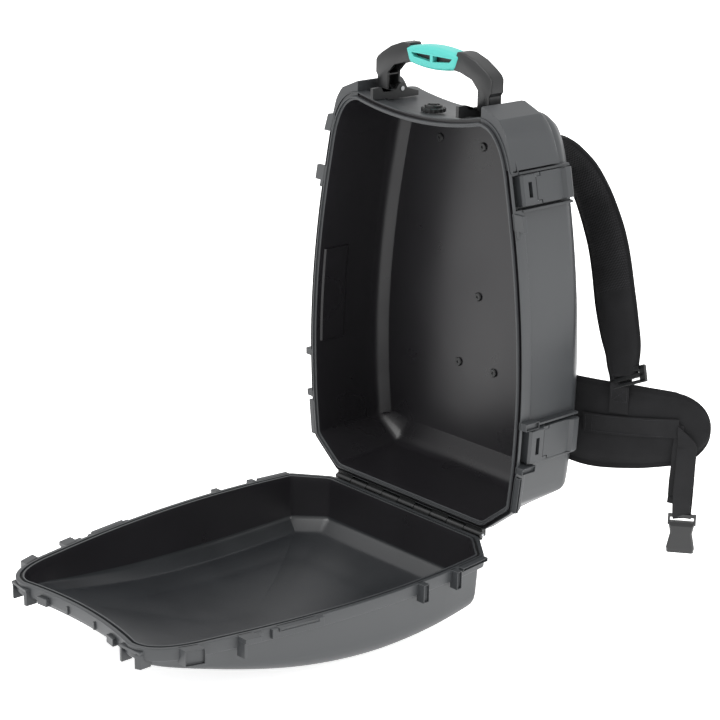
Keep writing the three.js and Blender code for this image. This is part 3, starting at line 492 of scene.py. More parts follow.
# depth behind the rim plane, inset at the sides, bottom and top, extra inset at a latch, rounding
shell_rows = [
    (126, 24, 50, 18, 0, 0),
    (126, 24, 50, 18, 0, 3),
    (105, 8, 16, 4, 0, 6),
    (18.5, 8, 8, 2, 0, 1),
    (17, 0, 0, 0, 8, 1.5),
    (4.2, 0, 0, 0, 8, 0),
    (4, 0, 0, 0, 0, 0),
    (0.2, 0, 0, 0, 0, 0.8),
    (0.2, 1.4, 1.4, 1.4, 0, 0.2),
    (3.6, 1.6, 1.6, 1.6, 0, 0),
    (3.6, 5.2, 5.2, 5.2, 0, 0),
    (0.2, 5.4, 5.4, 5.4, 0, 0.2),
    (0.2, 5.8, 5.8, 5.8, 0, 0.1),
    (-2.5, 6, 6, 6, 0, 0.5),
    (-2.5, 7.8, 7.8, 7.8, 0, 0.5),
    (0.2, 8, 8, 8, 0, 0.3),
    (0.2, 11, 11, 11, 0, 1.2),
    (17, 12, 12, 11, 0, 2),
    (107, 12, 20, 10, 0, 12),
    (122, 26, 54, 22, 0, 5),
    (122, 27, 55, 23, 0, 0),
]


def shell_ring(row):
    """One ring of the upright half: the outline moved inwards, at a depth behind the rim."""
    depth, sides, bottom, top, cut = row

    def amount(out):
        low = np.maximum(0, -out[:, 1]) ** 2
        high = np.maximum(0, out[:, 1]) ** 2
        return sides + (bottom - sides) * low + (top - sides) * high + cut * pocket

    flat = softened(inward(outline, amount))
    return stood(flat + (0, rim_reach), depth)


shell_profile = eased(shell_rows, np.array([1, 1, 0, 0, 0.5]))
shell_rings = [shell_ring(row) for row in shell_profile]
count = len(shell_rings[0])
inner_from = next(i for i, row in enumerate(shell_profile) if row[1] >= 11 and row[0] < 20 and i > 12)
# The groove in the rim is given the darker inside finish as painted shade in the recess, on top of the real
# shade of its depth.
bands = []
for r, (a, b) in enumerate(zip(shell_profile, shell_profile[1:])):
    groove_painted_dark = min(a[1], b[1]) > 1.3 and max(a[1], b[1]) < 5.5 and r > 8
    bands.append(1 if r >= inner_from or groove_painted_dark else 0)
which = np.repeat(bands, count).tolist() + [0, 1]
shell_skin = make("shell_skin", loft(shell_rings), [case_plastic, inner_plastic], "shell", which=which)
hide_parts("shell_body")
print("upright half", len(shell_skin.data.polygons), "faces")

# %% [markdown]
# ## The lid
# The lid hangs like a boat's hull: deep near the hinge, shallow at its free end. Each ring of the
# loft follows the outline, drawn towards the middle, and takes its depth from one belly curve.

# %% Lid
belly = spline(
    [
        (0, 0.85), (0.14, 0.945), (0.27, 1), (0.4, 1), (0.52, 0.945), (0.64, 0.835),
        (0.78, 0.635), (0.92, 0.38), (1.01, 0.24),
    ],
    120,
)

# fixed depth, share of the belly's depth, inset, shrink, wall taken off, rounding
lid_rows = [
    (17, 1, 28, 0.02, 0, 0),
    (17, 1, 28, 0.2, 0, 20),
    (17, 0.975, 28, 0.5, 0, 20),
    (17, 0.92, 28, 0.77, 0, 20),
    (17, 0.83, 28, 1, 0, 10),
    (17, 0.655, 10, 1, 0, 14),
    (17, 0, 7, 1, 0, 1),
    (15.5, 0, 0, 1, 0, 1.5),
    (0.2, 0, 0, 1, 0, 1.2),
    (0.2, 0, 5.2, 1, 0, 0.3),
    (3.8, 0, 5.3, 1, 0, 0),
    (3.8, 0, 8.5, 1, 0, 0),
    (0.2, 0, 8.6, 1, 0, 0.3),
    (0.2, 0, 11, 1, 0, 1),
    (12, 0, 11.6, 1, 0, 3),
    (17, 0.655, 14, 1, 5, 4),
    (17, 0.83, 32, 1, 5, 3),
    (17, 0.92, 32, 0.77, 5, 5),
    (17, 0.975, 32, 0.5, 5, 20),
    (17, 1, 32, 0.2, 5, 20),
    (17, 1, 32, 0.02, 5, 0),
]


def lid_ring(row):
    """One ring of the lid, whose depth follows the belly."""
    fixed, deep, inset, shrink, thin = row
    flat = softened(inward(outline, lambda out: np.full(len(out), inset)))
    s = case_height / 2 + (flat[:, 1] - case_height / 2) * shrink
    hang = 101 * np.interp(s / case_height, belly[:, 0], belly[:, 1])
    depth = fixed + deep * (hang - 17) - thin
    return np.stack([flat[:, 0] * shrink, -s - rim_reach, -depth], axis=1)


lid_profile = eased(lid_rows, np.array([1, 84, 1, 150, 1]))
lid_rings = [lid_ring(row) for row in lid_profile]
lip = next(i for i, row in enumerate(lid_profile) if 10.9 <= row[2] < 14 and row[0] < 1)
floor_from = next(i for i, row in enumerate(lid_profile) if i > lip and row[1] > 0.6)
bands = [0 if r < lip else 2 if r < floor_from else 1 for r in range(len(lid_rings) - 1)]
which = np.repeat(bands, count).tolist() + [0, 1]
# The floor takes the lighter finish, which is painted light; the walls keep the darker inside finish.
lid_skin = make("lid_skin", loft(lid_rings), [case_plastic, lid_floor_painted_light, inner_plastic], "lid", which=which)
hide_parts("lid_body")
print("lid", len(lid_skin.data.polygons), "faces")

# %% [markdown]
# ## Lugs on the rims
# Small blocks stand on the sides of both rims: stops beside the latches, tabs, and an eye for a
# padlock. They are moulded hollow from the outside, which saves plastic and keeps walls even, so
# most of them get a pocket in their outer face; the eye has none.

# %% Lugs
def block(corners, pocket_wall=0.0, pocket_depth=0.0):
    """A block from eight corners (two loops of four). Its third side face can carry a pocket."""
    work = bmesh.new()
    verts = [work.verts.new(c) for c in corners]
    quads = [(0, 1, 2, 3), (7, 6, 5, 4), (0, 4, 5, 1), (1, 5, 6, 2), (2, 6, 7, 3), (3, 7, 4, 0)]
    faces = [work.faces.new([verts[i] for i in quad]) for quad in quads]
    bmesh.ops.recalc_face_normals(work, faces=faces)
    if pocket_depth:
        bmesh.ops.inset_region(work, faces=[faces[3]], thickness=pocket_wall, depth=0.0)
        bmesh.ops.inset_region(work, faces=[faces[3]], thickness=0.01, depth=-pocket_depth)
    work.verts.index_update()
    shape = (np.array([v.co[:] for v in work.verts]), [tuple(v.index for v in f.verts) for f in work.faces])
    work.free()
    return shape


def in_shell(x, s, d):
    """A place on the upright half: across, up from its lower edge, and behind the rim."""
    return (x, d, s + rim_reach)


def in_lid(x, s, d):
    """The place on the lid that meets it when the lid is shut."""
    return (x, -s - rim_reach, -d)


def side_block(place, sign, s0, s1, inset, reach, d0, d1, wall=0.0, depth=0.0):
    """A block on the side of a rim between two heights, with an optional pocket in its outer face."""
    loops = []
    for d in (d0, d1):
        for s, r in ((s0, -inset), (s0, reach), (s1, reach), (s1, -inset)):
            loops.append(place(sign * (half_width(s) + r), s, d))
    return block(loops, wall, depth)


# from and to above the lower edge, reach beyond the outline, depth along the wall, pocket
lugs = [
    (470.1, 492.9, 12, 20, 1),
    (401.7, 421.9, 15, 6, 0),
    (318.0, 372.1, 7, 5, 0.35),
    (152.1, 161.7, 10, 24, 1),
    (93.3, 102.3, 10, 24, 1),
    (39.8, 88.0, 7, 5, 1),
]
for name, place, body in (("shell_lugs", in_shell, "shell"), ("lid_lugs", in_lid, "lid")):
    shapes = []
    for s0, s1, reach, deep, hollow in lugs:
        if body == "shell" and 300 < s0 < 330:
            continue
        for sign in (-1, 1):
            if body == "shell" and s0 > 465 and sign > 0:
                # On this side the box is nearly flush, and its pocket reads as a dark slot.
                shapes.append(side_block(place, sign, s0, s1 + 12, 3, 4.5, 1.8, 12, 1.6, 5))
                continue
            shapes.append(side_block(place, sign, s0, s1, 3, reach, 0.2, deep, 1.6, 3.5 * hollow))
            if body == "lid" and 300 < s0 < 330:
                # Below the slot a low plate thickens the wall.
                shapes.append(side_block(place, sign, s0 - 8, s1 + 8, 2.6, 4.5, 1, 13))
            if body == "lid" and s0 > 400 and not hollow:
                shapes.append(side_block(place, sign, s1 - 3.4, s1 - 0.4, 2.6, reach - 3, 1, 26))
            if not hollow and deep < 10:
                # The eye's foot widens into the wall below it.
                shapes.append(side_block(place, sign, s0 - 9, s0 + 1, 2.6, reach * 0.35, 0.9, deep - 0.7))
    if name == "shell_lugs":
        for s, height in latches:
            for edge in (-1, 1):
                middle = s + edge * (height / 2 + 3.5)
                for sign in (-1, 1):
                    shapes.append(side_block(place, sign, middle - 1.6, middle + 1.6, 10, 1, 16, 105))
    piece = make(name, merged(shapes), [case_plastic], body)
    soft_edges(piece, 0.7)

# The free end of the lid carries small catches and the corners' brackets.
end_blocks = [(125, 132, 8, 26, 5), (96, 101, 8, 26, 5), (96, 132, 4.5, 8.2, 6), (62, 78, 7, 17, 5)]
top_edge = right_half[-26:][::-1]
shapes = []
for x0, x1, d0, d1, reach in end_blocks:
    for sign in (-1, 1):
        rows = []
        for d in (d0, d1):
            for x, r in ((x0, -10), (x0, reach), (x1, reach), (x1, -10)):
                rows.append(in_lid(sign * x, np.interp(x, top_edge[:, 0], top_edge[:, 1]) + r, d))
        shapes.append(block(rows))
# A shallow finger notch in the middle is framed by a thin raised edge.
for sign in (-1, 1):
    near, far = sign * 26, sign * 29
    loop = ((near, -6), (near, 3), (far, 3), (far, -6))
    rows = [in_lid(x, case_height - top_bow + r, d) for d in (6, 16) for x, r in loop]
    shapes.append(block(rows))
lid_end = make("lid_end_catches", merged(shapes), [case_plastic], "lid")
soft_edges(lid_end, 0.6)
print("lug faces", sum(len(o.data.polygons) for o in (piece, lid_end)))

# %% [markdown]
# ## The shoulders
# Beside the handle the case rises into two shoulders that guard it when the pack falls over. Each
# has a sloping facet on top, then a crease, and then it rolls down to the latch.

# %% Shoulders
roll_down = spline([(143, 537.4), (149, 530), (154, 521), (158.2, 507.6), (162.5, 493), (166.2, 479)], 20)
# The underside runs inside the case wall, so that nothing of it shows in the interior.
buried = inward(outline, lambda out: 10 - 3 * np.maximum(0, out[:, 1]) ** 2)
buried = buried[(buried[:, 0] > 112) & (buried[:, 1] > 468)] + (0, rim_reach)
shoulder_line = np.concatenate([[(112, 531), (112, 549.4), (113, 550.2), (142, 538.2)], roll_down, buried])
on_top = (np.arange(len(shoulder_line)) > 0) & (np.arange(len(shoulder_line)) < 4 + len(roll_down))
shapes = []
for sign in (-1, 1):
    rings = []
    for y, drop in [(1.6, 0.8), (2.4, 0), (70, 0), (76, 1), (81, 4), (85, 9), (87, 15)]:
        x, z = shoulder_line.T
        z = z - on_top * drop * np.clip((z - 478) / 50, 0, 1)
        rings.append(np.stack([sign * x, np.full(len(x), y), z], axis=1))
    shapes.append(loft(rings))
shoulders = make("shell_shoulders", merged(shapes), [case_plastic], "shell", sharp=14)
soft_edges(shoulders, 0.8)

# %% [markdown]
# ## The hinge
# Nine knuckles, five on the upright half and four on the lid, turn on one steel pin. Rounded
# leaves carry them on the rims.

# %% Hinge knuckles
for name, first, body in (("shell_knuckles", 0, "shell"), ("lid_knuckles", 1, "lid")):
    pitch = 282 / 9
    shapes = []
    for i in range(first, 9, 2):
        x0 = -141 + i * pitch + 0.2
        x1 = x0 + pitch - 0.4
        angles = np.linspace(0, 2 * math.pi, 29)[:-1]
        rings = []
        for x, r in ((x0, 3.9), (x0 + 0.6, 4.5), (x1 - 0.6, 4.5), (x1, 3.9)):
            rings.append(np.stack([np.full(28, x), r * np.cos(angles), r * np.sin(angles)], axis=1))
        shapes.append(loft(rings))
        if body == "shell":
            ys, zs = (0.2, 4.5), (0, 8.6)
        else:
            ys, zs = (-8.6, 0), (-4.5, -0.2)
        leaf = ((ys[0], zs[0]), (ys[0], zs[1]), (ys[1], zs[1]), (ys[1], zs[0]))
        loops = [(x, y, z) for x in (x0 + 0.5, x1 - 0.5) for y, z in leaf]
        shapes.append(block(loops))
    if body == "shell":
        # A lip behind the knuckles keeps water out and closes the slit under the rim.
        corners = [(5, -3), (5, 7.6), (7.4, 7.6), (7.4, -3)]
        shapes.append(block([(x, y, z) for x in (-140, 140) for y, z in corners]))
    else:
        # The lid has a lip too, under the knuckles, against its own wall.
        corners = [(-8.5, -7), (-8.5, -5.4), (2, -5.4), (2, -7)]
        shapes.append(block([(x, y, z) for x in (-140, 140) for y, z in corners]))
    knuckles = make(name, merged(shapes), [black_nylon], body)
    soft_edges(knuckles, 0.4)

# %% [markdown]
# ## Panels inside and the pressure valve
# A raised panel on each inner wall stiffens it. On the top sits the pressure valve, which lets the
# air inside follow the weather: a round cap with stepped rings.

# %% Wall panels and valve cap
shapes = []
for sign in (-1, 1):
    rings = []
    for s in np.linspace(174, 306, 14):
        wall = half_width(s) - 12
        corners = ((wall + 2, 7), (wall - 2.2, 9), (wall - 2.2, 49), (wall + 2, 51))
        rings.append([(sign * x, y, s + rim_reach) for x, y in corners])
    shapes.append(loft(rings))
panels = make("inner_wall_panels", merged(shapes), [inner_plastic], "shell")
soft_edges(panels, 1.2)


def lathe(centre, profile, count=32):
    """A turned piece about an upright axis, from (radius, height) pairs."""
    angles = np.linspace(0, 2 * math.pi, count + 1)[:-1]
    circle = np.stack([np.cos(angles), np.sin(angles), np.zeros(count)], axis=1)
    return loft([circle * r + centre + (0, 0, h) for r, h in profile])


valve_node = frame["nodes"]["vent_valve"]
valve = np.array([valve_node.matrix_world @ v.co for v in valve_node.data.vertices])
valve = (valve - hinge) * 1000
valve_top = np.append((valve.min(axis=0) + valve.max(axis=0))[:2] / 2, valve[:, 2].max())
reach = (valve[:, 0].max() - valve[:, 0].min()) / 2
# Shares of the valve's radius, and heights above its top.
steps = [(0.72, -1), (0.72, 2.4), (0.66, 3), (0.5, 3), (0.48, 1.6), (0.3, 1.6), (0.28, 4.2), (0.2, 4.6)]
make("valve_cap", lathe(valve_top, [(reach * share, h) for share, h in steps]), [black_nylon], "shell")
print("valve radius", round(float(reach), 1), "mm")

# %% [markdown]
# ## The handle
# Two channel-section arms fold on pins and hold a soft grip. The arms are open towards each other:
# a front and a rear flange joined by a web along the outside, with small ribs across.

# %% Handle arms
def stacked(line, levels):
    """A solid from one line of (x, z): each level gives a depth, and how far the line moves inwards."""
    rings = []
    for y, inset in levels:
        flat = inward(np.asarray(line, dtype=float), lambda out: np.full(len(out), inset))
        rings.append(stood(flat, y))
    return loft(rings)


def plate(line, y0, y1, edge=0.0):
    """A plate from a line of (x, z), as thick as y0 to y1, with its edge rounded by "edge"."""
    levels = [(y0, 0), (y1, 0)]
    if edge:
        levels = [(y0, edge), (y0 + edge * 0.4, edge * 0.3), (y0 + edge, 0)]
        levels += [(y1 - edge, 0), (y1 - edge * 0.4, edge * 0.3), (y1, edge)]
    return stacked(line, levels)


fold_z = 541.0
grip_top = fold_z + 66
front, rear = 25.0, 48.0
outside = [
    (101, fold_z - 4), (101, fold_z + 16), (104, fold_z + 20), (104, fold_z + 36), (101, fold_z + 41),
    (93, fold_z + 47), (76, fold_z + 57), (56, grip_top - 2), (44, grip_top - 2),
]
inside = [(34, grip_top - 25), (50, grip_top - 27), (70, fold_z + 33), (81, fold_z + 22), (81, fold_z - 4)]
arm = []
arm.append(plate(outside + inside, front, front + 3.6, 1.2))
arm.append(plate(outside + inside, rear - 3.6, rear, 1.2))
web = outside + [
    (44, grip_top - 9), (55, grip_top - 9), (74, fold_z + 50), (88, fold_z + 42), (98, fold_z + 35),
    (98, fold_z + 20), (96, fold_z + 16), (96, fold_z - 4),
]
arm.append(plate(web, front + 1, rear - 1))
for z in (fold_z + 18, fold_z + 33):
    arm.append(plate([(82, z), (100, z), (100, z + 2.4), (82, z + 2.4)], front + 1, rear - 1))
bridge = [(-56, grip_top - 21), (56, grip_top - 21), (56, grip_top - 10), (-56, grip_top - 10)]
arms = merged(arm + [flipped(s) for s in arm] + [plate(bridge, 31, 42)])
handle_arms = make("handle_arms", arms, [black_nylon], "handle")
soft_edges(handle_arms, 0.6)
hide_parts("handle_frame")

# %% [markdown]
# ## The soft grip
# A rubber cover is moulded over the bridge. Its crown fills the palm, and its underside sags a little.
# Two slots are cut out with a boolean.

# %% Grip
crown = arc((-46, grip_top - 6), (0, grip_top + 5), (46, grip_top - 6), 25)
sag = arc((40, grip_top - 26), (0, grip_top - 34), (-40, grip_top - 26), 21)
ends = [(43, grip_top - 22), (48, grip_top - 9)]
grip_line = np.concatenate([sag[::-1], ends, crown[::-1], [(-x, z) for x, z in ends[::-1]]])
grip_levels = [
    (23.6, 4), (24.2, 2.6), (25.4, 1.3), (27.4, 0.4), (30, 0),
    (43, 0), (45.6, 0.4), (47.6, 1.3), (48.8, 2.6), (49.4, 4),
]
grip = make("handle_grip_cover", stacked(grip_line, grip_levels), [grip_rubber], "handle", sharp=50)


def carve(piece, shapes):
    """Cuts shapes out of a piece, by a boolean that is worked out at once."""
    cutter = make("cutter", merged(shapes), [black_nylon], "shell")
    step = piece.modifiers.new("carve", "BOOLEAN")
    step.operation = "DIFFERENCE"
    step.solver = "EXACT"
    step.object = cutter
    bpy.context.view_layer.update()
    evaluated = piece.evaluated_get(bpy.context.evaluated_depsgraph_get())
    mesh = bpy.data.meshes.new_from_object(evaluated)
    piece.modifiers.clear()
    piece.data = mesh
    bpy.data.objects.remove(cutter)
    mesh.set_sharp_from_angle(angle=math.radians(40))
    return piece


slots = []
for sign in (-1, 1):
    low, high = grip_top - 19, grip_top - 12
    line = [(sign * 2.5, low - 1), (sign * 32, low + 2), (sign * 37, high), (sign * 2.5, high)]
    slots.append(plate(line if sign > 0 else line[::-1], 20, 33))
# The slots reach in to the black core, which is why they look dark.
carve(grip, slots)
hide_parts("handle_grip")
print("handle", len(handle_arms.data.polygons) + len(grip.data.polygons), "faces")

# %% [markdown]
# ## Small hard parts
# Latches, ribs, pins, screws, valve and buckles keep their CAD shape. A bevel and smooth shading
# are enough at their size: the bevel is what separates a moulding from a block.

# %% Dress the CAD parts
hard = {
    "handle_rib": (black_nylon, 0.6), "handle_pin": (steel, 0.3), "latch_base": (case_plastic, 0.8),
    "latch_lever": (case_plastic, 0.8), "latch_pin": (steel, 0.2), "back_screw": (black_nylon, 0.3),
    "vent_valve": (black_nylon, 0.4), "hinge_pin": (steel, 0.2), "lid_seal": (seal_rubber, 0.0),
    "ladder_lock": (black_nylon, 0.6), "buckle": (black_nylon, 0.7),
}
for name, node in frame["nodes"].items():
    for start, (finish, width) in hard.items():
        if name.startswith(start):
            node.data.materials.clear()
            node.data.materials.append(finish)
            node.data.shade_smooth()
            node.data.set_sharp_from_angle(angle=math.radians(30))
            if width:
                soft_edges(node, width)

# %% [markdown]
# ## Padded straps and belt
# Foam is sandwiched between cloth and mesh and bound along the edge. The strap is swept along its
# path with a pillow section: full in the middle, thin at the bound edges. A short cloth simulation
# with air pressure then pulls the cloth tight over the foam and leaves small, uneven swells.

# %% Sweep and inflate
def sweep(rows, section, spacing):
    """Rows of (x, y, z, wide, thick, across) carried along a smooth path. Returns a shape and UVs."""
    rows = np.array([tuple(r[:5]) + tuple(r[5]) for r in rows], dtype=float)
    length = np.linalg.norm(np.diff(rows[:, :3], axis=0), axis=1).sum()
    fine = spline(rows, max(int(length / spacing), 8))
    run = np.concatenate([[0], np.cumsum(np.linalg.norm(np.diff(fine[:, :3], axis=0), axis=1))])
    rings = []
    uvs = []
    girth = np.concatenate([[0], np.cumsum(np.linalg.norm(np.diff(section, axis=0), axis=1))])
    for i, row in enumerate(fine):
        along = fine[min(i + 1, len(fine) - 1), :3] - fine[max(i - 1, 0), :3]
        along /= np.linalg.norm(along)
        across = row[5:8] - along * along.dot(row[5:8])
        across /= np.linalg.norm(across)
        out = np.cross(along, across)
        u = section[:, :1] * row[3] / 2
        v = section[:, 1:] * row[4] / 2
        rings.append(row[:3] + u * across + v * out)
        uvs.append(np.stack([girth * row[3] / 2, np.full(len(section), run[i])], axis=1))
    return loft(rings), np.concatenate(uvs), len(fine)


def pillow(count, edge, bound):
    """A closed section: two bulged faces between bound edges. "edge" is the edge's thickness."""
    u = np.sin(np.linspace(-math.pi / 2, math.pi / 2, count))
    bulge = (1 - (np.abs(u) / bound) ** 4).clip(0) ** 0.5
    swell = np.where(np.abs(u) > bound, edge, edge + (1 - edge) * bulge)
    swell[[0, -1]] = edge * 0.5
    face = np.stack([u, swell], axis=1)
    return np.concatenate([face, (face * (1, -1))[::-1]])


def covers(faces, section, stations, bound, is_mesh):
    """Each face's finish: 1 at the bound edge and the ends, 2 where "is_mesh" says so, or else 0."""
    which = []
    for face in faces:
        u, v = np.mean([section[i % len(section)] for i in face], axis=0)
        at = face[0] // len(section) / stations
        which.append(1 if len(face) > 4 or abs(u) > bound else 2 if is_mesh(v, at) else 0)
    return which


def inflate(piece, held, pressure, cap_mm):
    """Runs the piece as cloth for 20 frames and keeps what moved, up to a cap."""
    group = piece.vertex_groups.new(name="held")
    group.add([int(i) for i in np.nonzero(held)[0]], 1.0, "REPLACE")
    cloth = piece.modifiers.new("cloth", "CLOTH")
    cloth.settings.quality = 5
    cloth.settings.mass = 0.2
    cloth.settings.tension_stiffness = 25
    cloth.settings.compression_stiffness = 25
    cloth.settings.bending_stiffness = 1.5
    cloth.settings.use_pressure = True
    cloth.settings.uniform_pressure_force = pressure
    cloth.settings.effector_weights.gravity = 0
    cloth.settings.vertex_group_mass = "held"
    cloth.collision_settings.use_collision = False
    cloth.point_cache.frame_start = 1
    cloth.point_cache.frame_end = 20
    for number in range(1, 21):
        scene.frame_set(number)
    rest = np.zeros(len(piece.data.vertices) * 3)
    piece.data.vertices.foreach_get("co", rest)
    evaluated = piece.evaluated_get(bpy.context.evaluated_depsgraph_get())
    moved = np.zeros_like(rest)
    evaluated.data.vertices.foreach_get("co", moved)
    piece.modifiers.remove(cloth)
    shift = (moved - rest).reshape(-1, 3)
    size = np.linalg.norm(shift, axis=1)
    shift *= (np.minimum(size, cap_mm / 1000) / np.maximum(size, 1e-9))[:, None]
    piece.data.vertices.foreach_set("co", (rest.reshape(-1, 3) + shift).ravel())
    piece.data.update()
    scene.frame_set(1)
    print(piece.name, "moved at most", round(float(size.max()) * 1000, 1), "mm, kept", cap_mm)


def rounder(piece):
    """One level of subdivision, so that the cloth's folds read as curves."""
    step = piece.modifiers.new("rounder", "SUBSURF")
    step.levels = 1
    step.render_levels = 1


# %% Shoulder straps
back_face = 126.3
root_x, root_z = 82, 484
# x, y and z from the strap's root, and shares of its width and thickness
strap_rows = [
    (0, 0.1, 0, 0.72, 0.7), (0, 10, 0, 0.8, 0.8), (5, 25, 3, 0.9, 1), (12, 41, -7, 1, 1),
    (22, 62, -32, 1, 1), (35, 75, -64, 1, 1), (49, 80, -96, 1, 1), (64, 79, -126, 1, 1),
    (78, 74, -156, 1, 1), (96, 64, -194, 1, 1), (117, 51, -226, 0.94, 1), (133, 41, -247, 0.86, 0.95),
    (142, 33, -264, 0.78, 0.85), (147.5, 29, -275, 0.71, 0.7), (149, 27, -279, 0.66, 0.4),
]
strap_section = pillow(13, 0.3, 0.84)
rows = []
for x, y, z, wide, thick in strap_rows:
    rows.append((root_x + x, back_face + y, root_z + z, wide * 58, thick * 15, (0.98, 0.2, 0)))
(points, faces), strap_uv, stations = sweep(rows, strap_section, 4.5)
across_share = np.tile(strap_section[:, 0], stations)
station = np.repeat(np.arange(stations), len(strap_section))
held = (np.abs(across_share) > 0.8) | (station < 3) | (station > stations - 3)
which = covers(faces, strap_section, stations, 0.84, lambda v, at: v > 0 and at < 0.62)
padding_cloths = [pack_cloth, binding_tape, spacer_mesh]
for hand, shape in both_hands((points, faces)):
    strap = make(f"padded_strap_{hand}", shape, padding_cloths, "shell", 60, which, strap_uv)
    inflate(strap, held, 10.0, 5)
    rounder(strap)
    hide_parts(f"shoulder_strap_{hand}")

# %% [markdown]
# ## The hip belt
# The belt carries the load on the hips. It is one long pillow behind the case, whose two wings come
# forward and end in rounded tips. Cloth faces outwards, and mesh faces the wearer.

# %% Hip belt
# x, how far the wing comes forward, middle height, and shares of height and thickness
belt_rows = [
    (0, 0, 138, 1, 1.4), (90, 0, 138, 1, 1.4), (140, 2, 137, 1.02, 1.3), (165, 5, 135.5, 1.06, 1.1),
    (190, 12, 134.5, 1.08, 1), (216, 20, 136, 1.06, 1), (240, 30, 138, 1.03, 1), (264, 41, 140, 0.98, 0.95),
    (290, 58, 142.5, 0.88, 0.9), (306, 69, 144.5, 0.76, 0.8), (318, 80, 146, 0.57, 0.7),
    (326, 88, 150, 0.28, 0.55), (345, 107, 150, 0.1, 0.4),
]


def belt_frame(x):
    """Where the belt's front face is at x, and the directions along it and out of it."""
    xs, ys = np.array(belt_rows)[:, 0], np.array(belt_rows)[:, 1]
    slope = (np.interp(x + 8, xs, ys) - np.interp(x - 8, xs, ys)) / 16
    along = np.array([1, slope, 0]) / math.hypot(1, slope)
    return np.array([x, back_face + np.interp(x, xs, ys), 0]), along, np.array([along[1], -along[0], 0])


half_rows = []
for x, y, middle, tall, thick in belt_rows[:8]:
    spot, along, out = belt_frame(x)
    centre = spot - out * thick * 6.5
    half_rows.append((centre[0], centre[1], middle, tall * 110, thick * 13, (0, 0, 1)))
# The wing's tip is a quarter ellipse, drawn in equal turns so that it stays smooth.
for turn in np.radians([12, 26, 39, 51, 62, 71, 79, 85]):
    x = 284 + 43 * math.sin(turn)
    spot, along, out = belt_frame(x)
    thick = 12 * (0.75 + 0.25 * math.cos(turn))
    centre = spot - out * thick / 2
    middle = 141 + 6 * math.sin(turn)
    tall = 100 * math.cos(turn) ** 0.9
    half_rows.append((centre[0], centre[1], middle, tall, thick, (0, 0, 1)))
rows = [(-r[0],) + r[1:] for r in half_rows[:0:-1]] + half_rows
belt_section = pillow(25, 0.34, 0.8)
(points, faces), belt_uv, stations = sweep(rows, belt_section, 5.0)
across_share = np.tile(belt_section[:, 0], stations)
station = np.repeat(np.arange(stations), len(belt_section))
xs = points[:, 0]
held = (np.abs(across_share) > 0.82) | (station < 4) | (station > stations - 5) | (np.abs(xs) < 130)
which = covers(faces, belt_section, stations, 0.88, lambda v, at: v < 0)
belt = make("padded_hip_belt", (points, faces), padding_cloths, "shell", 60, which, belt_uv)
inflate(belt, held, 6.0, 5)
rounder(belt)
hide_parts("hip_belt")

# %% [markdown]
# ## The back pad
# Rings of the pad's outline shrink towards its middle and rise to a full top. Two sewn channels are
# pressed into it for air.

# %% Back pad
pad_low, pad_high, pad_r = 203.0, 468.0, 34.0
pad_w = 112 - pad_r
low_z, high_z = pad_low + pad_r, pad_high - pad_r
corners = ((pad_w, low_z, -90), (pad_w * 0.9, high_z, 0), (-pad_w * 0.9, high_z, 90), (-pad_w, low_z, 180))
quarters = []
for cx, cz, start in corners:
    for k in range(9):
        angle = math.radians(start + k * 11.25)
        quarters.append((cx + math.cos(angle) * pad_r, cz + math.sin(angle) * pad_r))
pad_line = []
for a, b in zip(quarters, quarters[1:] + quarters[:1]):
    gap = math.dist(a, b)
    steps = max(1, round(gap / 8))
    pad_line += [np.array(a) + (np.array(b) - np.array(a)) * k / steps for k in range(steps)]
pad_line = np.array(pad_line)
pad_middle = np.array([0, (pad_low + pad_high) / 2])
rings = [stood(pad_line, back_face + 0.1)]
for share in np.linspace(1, 0.02, 24):
    flat = pad_middle + (pad_line - pad_middle) * share
    high = 22 * (0.3 + 0.7 * (1 - share ** 6) ** 0.5)
    # Sewn channels let air pass up the wearer's back.
    groove = 7 * (np.exp(-((np.abs(flat[:, 0]) - 22) / 5) ** 2)) * (share < 0.86)
    rings.append(stood(flat, back_face + high - groove))
points, faces = loft(rings)
uv = np.stack([points[:, 0], points[:, 2]], axis=1)
which = [0 if i < len(pad_line) * 4 else 1 for i in range(len(faces))]
pad = make("padded_back_panel", (points, faces), [pack_cloth, spacer_mesh], "shell", 60, which, uv)
held = (points[:, 1] < 128) | (np.abs(np.abs(points[:, 0]) - 22) < 5)
inflate(pad, held, 1.5, 5)
rounder(pad)
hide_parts("back_pad")
print("padding done")

# %% [markdown]
# ## Webbing
# Webbing is flat and stiff across its width but bends freely along it, so it is a plain ribbon
# swept along its path. Its weave comes from the material; the stitches are real little stitches.

# %% Webbing ribbons
lower_half = np.array([(-1, -0.5), (-0.97, -1), (-0.5, -1), (0, -1), (0.5, -1), (0.97, -1), (1, -0.5)])
flat_section = np.concatenate([lower_half, -lower_half])


def ribbon(name, rows, instead=None):
    """A strip of webbing on both hands, and the CAD node that it stands for."""
    swept, uv, _ = sweep(rows, flat_section, 3.0)
    for hand, shape in both_hands(swept):
        piece = make(f"{name}_{hand}", shape, [webbing_cloth], "shell", 40, None, uv)
        if instead:
            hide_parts(f"{instead}_{hand}")


def on_belt(x, z, lift):
    """A point over the belt's front face, at x and at a height, "lift" out of it."""
    spot, along, out = belt_frame(x)
    return tuple(spot + out * lift + np.array([0, 0, z]))


band_line = [(184, 137), (200, 138), (220, 139.5), (245, 141.5), (268, 143.5), (297, 145.5)]
band_rows = [on_belt(x, z, 3.0) + (25, 1.6, (0, 0, 1)) for x, z in band_line]
ribbon("belt_band", band_rows, instead="belt_webbing")

spot, tip_along, tip_out = belt_frame(306)
